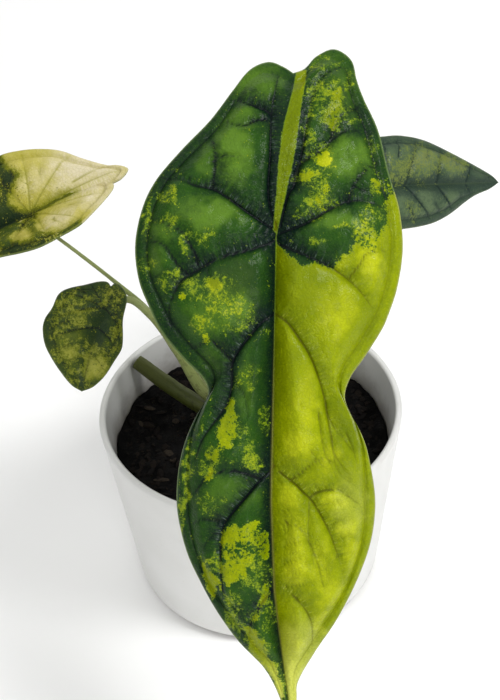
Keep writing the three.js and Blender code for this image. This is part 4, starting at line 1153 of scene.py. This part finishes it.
rightLeaf = {
    **smallLeaf,
    "piece": "leaf_right",
    "node": "blade_right",
    "slot": "leaf_grey_green",
    "ragged": 1.0,
    "seat": (58.5, 56.6, 147.0),
    "lobesToward": (-0.864, -0.415, 0.287),
    "facing": (0.501, -0.645, 0.577),
    "archTip": 0.001,
    "archLobes": 0.003,
    "ribRise": 2,
    "droop": 2,
    "halfWidth": 20,
    "puff": 1.6,
    "midline": [(0, 19), (0, 0), (0.3, -20), (0.5, -42), (0.8, -64.5)],
    "veinRoots": [0, 0, 0, 0, 0, -10, -27, -44, -64.5],
    "rowsBetween": [3, 3, 3, 3, 4, 3, 3, 5],
    "left": {
        "outline": [
            (0, 19), (-1.8, 22.6), (-5, 24.5), (-9, 23), (-13.5, 17), (-16.5, 9), (-17.5, 0), (-17, -8),
            (-16.3, -17.4), (-14.9, -25.7), (-11.9, -34.2), (-7.2, -43.2), (-4.4, -49.4), (-1.8, -58.7),
            (0.8, -64.5),
        ],
        "veinEnds": [0, 2.4, 4, 5.3, 6.8, 8.8, 10.2, 11.7, 14],
        "veinBows": [(0, 0), (-1, 1), (-1, 2), (0, 3), (0, 2), (0, 2), (-2, 2), (-1, 1), (0, 0)],
    },
    "right": {
        "outline": [
            (0, 19), (2, 22.4), (5.4, 25), (10, 24.5), (15, 18.5), (18.5, 11), (20, 3), (20.7, -4.9),
            (21, -12.6), (19.6, -23), (16.2, -33.2), (9.3, -49), (4, -60.6), (0.8, -64.5),
        ],
        "veinEnds": [0, 2.4, 4, 5.3, 6.8, 8.8, 10, 11, 13],
        "veinBows": [(0, 0), (1, 1), (1, 2), (0, 3), (0, 2), (0, 2), (2, 2), (1, 1), (0, 0)],
    },
    "patches": [
        [(7.5, -9), (10.5, -12), (13.4, -17.5), (14, -23.5), (11, -26), (8, -24), (7, -19.5), (6, -14)],
        [(12.3, -31), (11.5, -37), (8.5, -43.5), (6, -41), (6.2, -33), (9, -29.5)],
    ],
    "flecks": [
        (9, -18, 7, 12, 0.66), (9, -38, 5, 9, 0.66), (6, -6, 6, 6, 0.55), (-6, 10, 5, 6, 0.5),
        (-10, -12, 4, 5, 0.4),
    ],
    "mottled": [(9, -18, 7, 11, 0.65), (9, -38, 5, 7, 0.7)],
    "paleAndHighlightSpots": [(11, -22, 4, 7, 0.9), (8, -38, 5, 6, 0.6), (-7, -18, 6, 16, 0.5)],
}

greyColours = dict(
    smallColours,
    deepGreen=(42, 58, 48),
    green=(74, 92, 66),
    paleGreen=(98, 114, 80),
    olive=(98, 112, 54),
    deepYellow=(104, 116, 50),
    yellow=(96, 106, 52),
    paleYellow=(108, 118, 70),
    yellowVein=(80, 90, 54),
    greenVein=(32, 46, 40),
    rim=(104, 116, 84),
    paintedGlint=(96, 112, 98),
    paintedGlintShare=0.25,
    band=1.6,
    halo=1.2,
    greenRim=(96, 110, 80),
    seam=(60, 74, 52),
)
makeSmallLeaf(rightLeaf, greyColours)


# Stalks

def stalkCurve(points, steps):  # a smooth, evenly stepped line through the points
    points = [np.array(point, float) for point in points]
    points = [2 * points[0] - points[1]] + points + [2 * points[-1] - points[-2]]
    line = []
    for i in range(1, len(points) - 2):
        p0, p1, p2, p3 = points[i - 1:i + 3]
        d0, d1, d2 = [math.sqrt(np.linalg.norm(b - a)) for a, b in ((p0, p1), (p1, p2), (p2, p3))]
        t1 = ((p1 - p0) / d0 - (p2 - p0) / (d0 + d1) + (p2 - p1) / d1) * d1
        t2 = ((p2 - p1) / d1 - (p3 - p1) / (d1 + d2) + (p3 - p2) / d2) * d1
        for t in np.arange(24) / 24:
            line.append(p1 * (2 * t**3 - 3 * t**2 + 1) + p2 * (3 * t**2 - 2 * t**3)
                        + t1 * (t**3 - 2 * t**2 + t) + t2 * (t**3 - t**2))
    line = np.array(line + [points[-2]])
    gone = np.append(0, np.cumsum(np.linalg.norm(np.diff(line, axis=0), axis=1)))
    even = np.linspace(0, gone[-1], steps + 1)
    return np.stack([np.interp(even, gone, line[:, axis]) for axis in range(3)], 1), gone[-1]


def tubeFrames(line):
    ahead = np.gradient(line, axis=0)
    ahead /= np.linalg.norm(ahead, axis=1)[:, None]
    side = np.cross(ahead[0], [0.0, 1.0, 0.0])
    side /= np.linalg.norm(side)
    sides = []
    for direction in ahead:
        side = side - direction * (side @ direction)
        side /= np.linalg.norm(side)
        sides.append(side)
    sides = np.array(sides)
    return sides, np.cross(ahead, sides)


def tubeFaces(rings, sides):  # rings of four-sided faces, closed by a fan at each end
    index = np.arange(rings * sides).reshape(rings, sides)
    beside = np.roll(index, -1, axis=1)
    faces = np.stack([index[:-1], beside[:-1], beside[1:], index[1:]], -1).reshape(-1, 4).tolist()
    foot, top = rings * sides, rings * sides + 1
    faces += [[foot, beside[0, i], index[0, i]] for i in range(sides)]
    faces += [[top, index[-1, i], beside[-1, i]] for i in range(sides)]
    return faces


sheath = {  # the winged foot of each stalk; angles in radians
    "height": 0.32,  # as a share of the stalk
    "wingAngle": 0.62, "wingWidth": 0.26,
    "grooveDepth": 0.16, "grooveWidth": 0.5,
}
belowBlade = (6.4, 1.3)  # mm, how far the last two points of a stalk are below its blade


def makeStalk(stalk, material):
    points = list(stalk["path"])
    if stalk["leaf"]:
        basis, seat = leafFrame(stalk["leaf"])
        points += [seat - basis[2] * below for below in belowBlade]
    line, length = stalkCurve(points, stalk["steps"])
    sides, ups = tubeFrames(line)
    share = np.linspace(0, 1, stalk["steps"] + 1)
    radius = np.interp(share, [0, 1 / 3, 2 / 3, 1], stalk["radii"])
    rings, turns = len(share), stalk["sides"]
    angle = np.linspace(0, 2 * np.pi, turns, endpoint=False)
    fade = 1 - smoothRamp(share / sheath["height"])
    toward = math.radians(stalk["opening"])
    profile = np.ones((rings, turns))
    for lean in (-sheath["wingAngle"], sheath["wingAngle"]):
        off = np.angle(np.exp(1j * (angle - toward - lean)))
        profile += (stalk["sheath"] * fade)[:, None] * bell(off, sheath["wingWidth"])[None, :]
    off = np.angle(np.exp(1j * (angle - toward)))
    groove = sheath["grooveDepth"] * bell(off, sheath["grooveWidth"])
    profile -= groove[None, :] * (0.4 + 0.6 * fade)[:, None]
    reach = radius[:, None] * profile
    places = line[:, None] + sides[:, None] * (reach * np.cos(angle))[:, :, None]
    places = places + ups[:, None] * (reach * np.sin(angle))[:, :, None]
    lumps = latticeNoise(places.reshape(-1, 3), 0.22, 21).reshape(places.shape[:2]) - 0.5
    places += (places - line[:, None]) * (0.1 * lumps)[:, :, None]
    ends = [line[0], line[-1] + (line[-1] - line[-2]) * 0.3]
    flat = np.vstack([places.reshape(-1, 3)] + ends)
    values = {
        "along": np.append(np.repeat(share * length, turns), [0, length]),
        "share": np.append(np.repeat(share, turns), [0, 1]),
        "around": np.append(np.tile(np.abs(angle - np.pi), rings), [0, 0]),
    }
    addPiece(
        stalk["piece"], flat * mm, tubeFaces(rings, turns), material, [stalk["node"]], values
    )


def stalkMaterial(name, look):
    look = paintsOf(look)
    bench = Bench(name, Specular_IOR_Level=0.25)
    share, along, around = bench.value("share"), bench.value("along"), bench.value("around")
    spot = bench.objectPlace()
    streaks = bench.noise(bench.join(bench.times(along, 0.05), bench.times(around, 4.0)), 2.2, 3, 0.6)
    mottle = bench.noise(spot, 420.0, 3, 0.6, 0.4)
    freckle = bench.noise(spot, 1100.0, 2, 0.6)
    marks = bench.times(bench.between(mottle, 0.52, 0.6), bench.between(share, 0.0, 0.9, 0.5, 0.08))
    # darker toward the foot: painted shade down in the pot; paler toward the blade
    colour = bench.paint(
        look["foot"],
        (bench.between(share, 0.0, 0.45), look["green"]),
        (bench.between(share, 0.5, 1.0, 0.0, 0.8), look["top"]),
        (bench.between(streaks, 0.35, 0.7, 0.0, 0.5), look["streak"]),
        (marks, look["mottle"]),
        (bench.between(freckle, 0.62, 0.72, 0.0, 0.25), look["streak"]),
    )
    normal = bench.bump(bench.plus(streaks, bench.times(mottle, 0.4)), 0.4, 0.00025)
    gloss = bench.between(mottle, 0.3, 0.7, 0.36, 0.52)
    return bench.finish(Base_Color=colour, Roughness=gloss, Normal=normal)


stalkGreen = stalkMaterial("petiole_green", {
    "foot": (66, 68, 34),
    "green": (122, 134, 72),
    "top": (146, 154, 100),
    "streak": (148, 156, 100),
    "mottle": (58, 56, 32),
})
oldGreen = stalkMaterial("petiole_old", {
    "foot": (50, 54, 22),
    "green": (66, 74, 28),
    "top": (74, 78, 32),
    "streak": (84, 92, 42),
    "mottle": (34, 32, 16),
})

stalks = [
    {
        "piece": "stalk_front", "node": "petiole_front", "leaf": frontLeaf,
        "radii": [4.0, 2.9, 2.4, 2.1], "steps": 150, "sides": 28, "sheath": 0.42, "opening": 90,
        "path": [(2, -6.3, 77.4), (2, -6.3, 86), (3, -11, 112), (5, -23, 146), (8, -40, 179)],
    },
    {
        "piece": "stalk_left", "node": "petiole_left", "leaf": leftLeaf,
        "radii": [3.4, 1.7, 0.8, 0.65], "steps": 150, "sides": 24, "sheath": 0.38, "opening": 0,
        "path": [
            (-1.2, 6.8, 77.4), (-1.2, 6.8, 81.5), (-7, 8.6, 84.5), (-19.8, 13, 88), (-28.5, 19.3, 99.5),
            (-37.6, 25.3, 114.4), (-48.7, 28.1, 127), (-69.6, 33, 146.9),
        ],
    },
    {
        "piece": "stalk_low_left", "node": "petiole_low_left", "leaf": lowLeaf,
        "radii": [3.4, 2.3, 1.5, 1.2], "steps": 120, "sides": 24, "sheath": 0.38, "opening": 0,
        "path": [
            (-6.8, -0.6, 77.4), (-6.8, -0.6, 82), (-11, -0.1, 86.5), (-18.6, 1.8, 93.4),
            (-26.8, 8.2, 108.2), (-36.2, 14.3, 121.4), (-43.8, 16.8, 128), (-50, 14.8, 128.4),
        ],
    },
    {
        "piece": "stalk_right", "node": "petiole_right", "leaf": rightLeaf,
        "radii": [3.6, 2.4, 1.7, 1.3], "steps": 130, "sides": 24, "sheath": 0.4, "opening": 180,
        "path": [(6.8, 2.2, 77.4), (6.8, 2.2, 84), (20, 26, 99), (33, 46, 115), (46, 60, 131)],
    },
    {
        "piece": "stalk_old", "node": "old_petiole", "leaf": None,
        "radii": [3.4, 3.4, 3.3, 3.1], "steps": 70, "sides": 24, "sheath": 0.2, "opening": 90,
        "path": [(-11.2, 7.3, 72.8), (-18, 11.8, 73.4), (-30, 19.9, 77.2), (-46.1, 30.6, 85)],
    },
]
for stalk in stalks:
    makeStalk(stalk, stalkGreen if stalk["leaf"] else oldGreen)
print("stalks made")


# Turned shapes: pot, soil and crown

def turned(profile, sides, shape=None):  # a closed body from a profile of (radius, height)
    profile = np.array(profile, float)
    angle = np.linspace(0, 2 * np.pi, sides, endpoint=False)
    inner = profile[1:-1]
    radius = np.repeat(inner[:, :1], sides, axis=1)
    height = np.repeat(inner[:, 1:], sides, axis=1)
    places = np.stack([radius * np.cos(angle), radius * np.sin(angle), height], -1)
    if shape is not None:
        places = shape(places, angle)
    ends = [[0, 0, profile[0, 1]], [0, 0, places[-1, :, 2].mean()]]
    return np.vstack([places.reshape(-1, 3), ends]) * mm, tubeFaces(len(inner), sides)


def arc(centreRadius, centreHeight, radius, start, end, steps):
    angles = np.radians(np.linspace(start, end, steps + 1))
    return [(centreRadius + radius * math.cos(a), centreHeight + radius * math.sin(a)) for a in angles]


pot = {  # mm
    "height": 86.0, "rim": 60.0, "base": 51.5, "wall": 2.8, "floor": 4.2,
    "fillet": 7.0,  # radius of the outer corner at the foot
    "inner": 5.0,  # radius of the inner corner on the floor
    "wallRings": 22, "sides": 168,
}


def potRadius(z):
    return mixOf(pot["base"], pot["rim"], z / pot["height"])


def insideRadius(z):
    return potRadius(z) - pot["wall"]


def potProfile():
    lip = pot["wall"] / 2
    low, corner = pot["fillet"], pot["floor"] + pot["inner"]
    shoulder = pot["height"] - lip
    outer = [(potRadius(z), z) for z in np.linspace(low, shoulder, pot["wallRings"])[1:-1]]
    inner = [(insideRadius(z), z) for z in np.linspace(shoulder, corner, pot["wallRings"])[1:-1]]
    return (
        [(0, 0), (20, 0), (36, 0)]
        + arc(potRadius(low) - low, low, low, -90, 0, 10)
        + outer
        + arc(pot["rim"] - lip, shoulder, lip, 0, 180, 10)
        + inner
        + arc(insideRadius(corner) - pot["inner"], corner, pot["inner"], 0, -90, 6)
        + [(20, pot["floor"]), (0, pot["floor"])]
    )


def glazeMaterial():
    bench = Bench("glazed_white", Specular_IOR_Level=0.5, Coat_Weight=0.15, Coat_Roughness=0.3)
    spot = bench.objectPlace()
    cloud = bench.noise(spot, 26.0, 3, 0.5)
    pitted = bench.noise(spot, 900.0, 2, 0.6)
    dots = bench.cells(spot, 260.0)
    height = bench.heightOf(spot)
    stain = bench.times(bench.between(height, 0.0, 0.012, 0.3, 0.0), bench.between(cloud, 0.4, 0.65))
    ragged = bench.plus(height, bench.times(bench.noise(spot, 120.0, 4, 0.65), 0.012))
    # soil dust on the inside wall, darkest by the soil and fading toward the rim, which also stands as
    # painted shade inside the pot
    dustAndShade = bench.times(bench.between(ragged, 0.070, 0.086, 0.75, 0.0), bench.value("inside"))
    colour = bench.paint(
        tint(207, 207, 204),
        (bench.between(cloud, 0.3, 0.7), tint(217, 217, 215)),
        (bench.between(dots, 0.05, 0.09, 0.3, 0.0), tint(182, 178, 168)),
        (stain, tint(176, 170, 158)),
        (dustAndShade, tint(96, 88, 78)),
    )
    gloss = bench.between(cloud, 0.3, 0.7, 0.34, 0.46)
    normal = bench.bump(bench.plus(cloud, bench.times(pitted, 0.08)), 0.3, 0.0008)
    return bench.finish(Base_Color=colour, Roughness=gloss, Normal=normal)


potPlaces, potFaces = turned(potProfile(), pot["sides"])
potWall = potRadius(potPlaces[:, 2] / mm) - pot["wall"] / 2
inside = np.hypot(potPlaces[:, 0], potPlaces[:, 1]) / mm < potWall
addPiece("planter", potPlaces, potFaces, glazeMaterial(), ["pot"], {"inside": inside})
print("pot made")

soil = {  # mm
    "level": 67.0, "hole": 12.7, "gap": 0.35, "relief": 1.1, "grain": 1.5,
    "chips": 1250, "chipsFromWall": 3.2, "chipsFromHole": 2.5, "sides": 200,
}


def soilLumps(x, y):
    return np.sin(0.21 * x + 1.3) * np.cos(0.17 * y - 0.4) + 0.5 * np.sin(0.41 * x - 0.37 * y)


def soilHeight(x, y):
    spots = inSpace(np.column_stack([np.ravel(x), np.ravel(y)]))
    crumbs = latticeNoise(spots, 0.34, 3, 4) - 0.5
    fine = latticeNoise(spots, 1.1, 4, 2) - 0.5
    rough = (soil["grain"] * 1.5 * crumbs + 0.9 * fine).reshape(np.shape(x))
    return soil["level"] + soil["relief"] * soilLumps(x, y) + rough


def soilShape(places, angle):
    x, y, z = places[..., 0], places[..., 1], places[..., 2]
    top = z > soil["level"] - 0.5
    places[..., 2] = np.where(top, soilHeight(x, y), z)
    return places


def soilProfile():
    corner = pot["floor"] + pot["inner"]
    gap = soil["gap"]
    edge = insideRadius(soil["level"]) - gap
    sides = [(insideRadius(z) - gap, z) for z in np.linspace(corner, soil["level"] - 2.5, 14)[1:]]
    return (
        [(0, pot["floor"] + 0.3), (24, pot["floor"] + 0.3)]
        + arc(insideRadius(corner) - pot["inner"], corner, pot["inner"] - gap, -90, 0, 5)
        + sides
        + [(edge, soil["level"] - 1.2)]
        + [(radius, soil["level"]) for radius in np.linspace(edge - 0.4, soil["hole"] - 1.5, 62)]
        + [(soil["hole"] - 3, soil["level"]), (0, soil["level"])]
    )


def soilMaterial():
    bench = Bench("potting_mix", Roughness=0.9, Specular_IOR_Level=0.1)
    spot = bench.objectPlace()
    lumps = bench.noise(spot, 160.0, 5, 0.65)
    grains = bench.noise(spot, 900.0, 3, 0.6)
    fibre = bench.cells(spot, 420.0)
    colour = bench.paint(
        tint(3, 3, 3),
        (bench.between(lumps, 0.35, 0.7), tint(8, 7, 6)),
        (bench.between(grains, 0.6, 0.72, 0.0, 0.7), tint(23, 17, 13)),
        (bench.between(fibre, 0.05, 0.14, 0.6, 0.0), tint(4, 3, 3)),
    )
    gloss = bench.between(lumps, 0.4, 0.7, 0.95, 0.6)
    normal = bench.bump(bench.plus(lumps, bench.times(grains, 0.5)), 0.8, 0.0012)
    return bench.finish(Base_Color=colour, Roughness=gloss, Normal=normal)


soilPlaces, soilFaces = turned(soilProfile(), soil["sides"], soilShape)
addPiece("potting_mix", soilPlaces, soilFaces, soilMaterial(), ["soil"])


def chipMaterial():
    bench = Bench("bark_chips", Roughness=0.85, Specular_IOR_Level=0.12)
    spot = bench.objectPlace()
    tone = bench.value("tone")
    grain = bench.noise(spot, 700.0, 4, 0.65)
    colour = bench.paint(
        tint(5, 4, 4),
        (tone, tint(24, 18, 13)),
        (bench.between(tone, 0.93, 0.95), tint(44, 38, 31)),
        (bench.between(grain, 0.4, 0.7, 0.0, 0.6), tint(10, 8, 6)),
    )
    return bench.finish(Base_Color=colour, Normal=bench.bump(grain, 0.7, 0.0006))


def roundBall():  # a ball of 32 triangles, an eight-sided one with each face split in four
    points = [(1, 0, 0), (-1, 0, 0), (0, 1, 0), (0, -1, 0), (0, 0, 1), (0, 0, -1)]
    shell = [(0, 2, 4), (2, 1, 4), (1, 3, 4), (3, 0, 4), (2, 0, 5), (1, 2, 5), (3, 1, 5), (0, 3, 5)]
    edges, faces = {}, []

    def middle(a, b):
        key = (min(a, b), max(a, b))
        if key not in edges:
            edges[key] = len(points)
            half = (np.array(points[a]) + points[b]) / 2
            points.append((half / np.linalg.norm(half)).tolist())
        return edges[key]

    for a, b, c in shell:
        ab, bc, ca = middle(a, b), middle(b, c), middle(c, a)
        faces += [(a, ab, ca), (ab, b, bc), (ca, bc, c), (ab, bc, ca)]
    return np.array(points, float), np.array(faces)


def makeChips():
    luck = np.random.default_rng(8)
    ball, ballFaces = roundBall()
    nearest = soil["hole"] + soil["chipsFromHole"]
    farthest = insideRadius(soil["level"]) - soil["chipsFromWall"]
    places, faces, tones = [], [], []
    for number in range(soil["chips"]):
        radius = math.sqrt(luck.uniform(nearest**2, farthest**2))
        angle = luck.uniform(0, 2 * math.pi)
        x, y = radius * math.cos(angle), radius * math.sin(angle)
        size = 0.5 + 1.5 * luck.random() ** 3
        stretch = [luck.uniform(least, most) for least, most in ((1.0, 2.0), (0.7, 1.1), (0.3, 0.6))]
        lumps = ball * luck.uniform(0.78, 1.2, (len(ball), 1)) * (np.array(stretch) * size)
        spin = Matrix.Rotation(luck.uniform(0, 6.28), 3, "Z")
        turn = np.array(spin @ Matrix.Rotation(luck.normal(0, 0.35), 3, "X"))
        height = float(soilHeight(np.array([x]), np.array([y]))[0])
        places.append(lumps @ turn.T + [x, y, height + 0.1 * size])
        faces.append(ballFaces + number * len(ball))
        tones.append(np.full(len(ball), luck.random()))
    chips = addPiece("bark_chips", np.concatenate(places) * mm, np.concatenate(faces).tolist(),
                     chipMaterial(), values={"tone": np.concatenate(tones)})
    chips.data.shade_flat()


makeChips()
print("soil made")

crown = {"radius": 12.6, "foot": 60.0, "shoulder": 73.5, "top": 84.0, "sides": 110}  # mm


def crownShape(places, angle):
    x, y, z = places[..., 0], places[..., 1], places[..., 2]
    rings = 0.35 * np.abs(np.sin(0.9 * z + 0.8 * np.sin(2 * angle)[None, :]))
    lumps = latticeNoise(places.reshape(-1, 3), 0.2, 9).reshape(z.shape) - 0.5
    radius = np.hypot(x, y)
    grow = 1 + (0.9 * lumps - rings) / np.maximum(radius, 5)
    places[..., 0] *= grow
    places[..., 1] *= grow
    return places


def crownProfile():
    radius, shoulder = crown["radius"], crown["shoulder"]
    side = [(radius, z) for z in np.linspace(crown["foot"], shoulder, 22)]
    dome = [
        (radius * math.cos(angle) ** 0.8, shoulder + (crown["top"] - shoulder) * math.sin(angle) ** 1.6)
        for angle in np.linspace(0, 1, 16)[1:-1] * math.pi / 2
    ]
    return [(0, crown["foot"])] + side + dome + [(0, crown["top"])]


def crownMaterial():
    bench = Bench("crown_skin", Roughness=0.75, Specular_IOR_Level=0.35)
    spot = bench.objectPlace()
    height = bench.heightOf(spot)
    flaky = bench.noise(spot, 240.0, 4, 0.65)
    bands = bench.noise(bench.join(z=height), 700.0, 2, 0.6)
    colour = bench.paint(
        tint(58, 44, 28),
        (bench.between(flaky, 0.35, 0.65), tint(116, 92, 58)),
        (bench.between(bands, 0.5, 0.7, 0.0, 0.6), tint(40, 30, 20)),
        (bench.between(height, 0.0755, 0.083, 0.0, 0.85), tint(104, 110, 62)),
    )
    return bench.finish(Base_Color=colour, Normal=bench.bump(bench.plus(flaky, bands), 0.7, 0.0009))


crownPlaces, crownFaces = turned(crownProfile(), crown["sides"], crownShape)
addPiece("rootstock", crownPlaces, crownFaces, crownMaterial(), ["crown"])
print("crown made")


# Floor, light and colour handling

studio = {  # places and sizes in metres, power in watts
    "floor": tint(251, 251, 250),
    "reach": 6.0,
    "drop": 0.0002,  # the floor lies this far below the pot's base
    "room": 0.46,
    "lamps": {
        "key": {"place": (0.58, -0.36, 1.0), "aim": (0, -0.03, 0.12), "size": (0.36, 0.36), "power": 8.0},
        "front": {"place": (0.3, -1.25, 0.55), "aim": (0, -0.03, 0.15), "size": (0.4, 0.4), "power": 4.0},
        "far": {"place": (-0.1, 0.95, 0.85), "aim": (-0.1, 0.8, 0), "size": (1.4, 0.8), "power": 4.0},
        "fill": {"place": (-0.6, -0.5, 1.2), "aim": (0, 0, 0.1), "size": (1.0, 1.0), "power": 4.0},
    },
}

floorMesh = bpy.data.meshes.new("floor")
reach = studio["reach"]
floorCorners = [(-reach, -reach, 0), (reach, -reach, 0), (reach, reach, 0), (-reach, reach, 0)]
floorMesh.from_pydata(floorCorners, [], [(0, 1, 2, 3)])
floorBench = Bench("floor_paper", Roughness=0.8)
floorMesh.materials.append(floorBench.finish(Base_Color=studio["floor"]))
floor = bpy.data.objects.new("floor", floorMesh)
floor.location.z = -studio["drop"]
bpy.context.collection.objects.link(floor)

world = bpy.data.worlds.new("room")
world.use_nodes = True
backdrop = world.node_tree.nodes["Background"]
backdrop.inputs["Color"].default_value = (1.0, 1.0, 1.0, 1.0)
backdrop.inputs["Strength"].default_value = studio["room"]
bpy.context.scene.world = world


for name, lamp in studio["lamps"].items():
    lampData = bpy.data.lights.new(name, "AREA")
    lampData.shape = "RECTANGLE"
    lampData.size, lampData.size_y = lamp["size"]
    lampData.energy = lamp["power"]
    softBox = bpy.data.objects.new(name, lampData)
    softBox.location = lamp["place"]
    facing = Vector(lamp["aim"]) - Vector(lamp["place"])
    softBox.rotation_euler = facing.to_track_quat("-Z", "Y").to_euler()
    bpy.context.collection.objects.link(softBox)

bpy.context.scene.view_settings.view_transform = "Standard"
print("studio made")
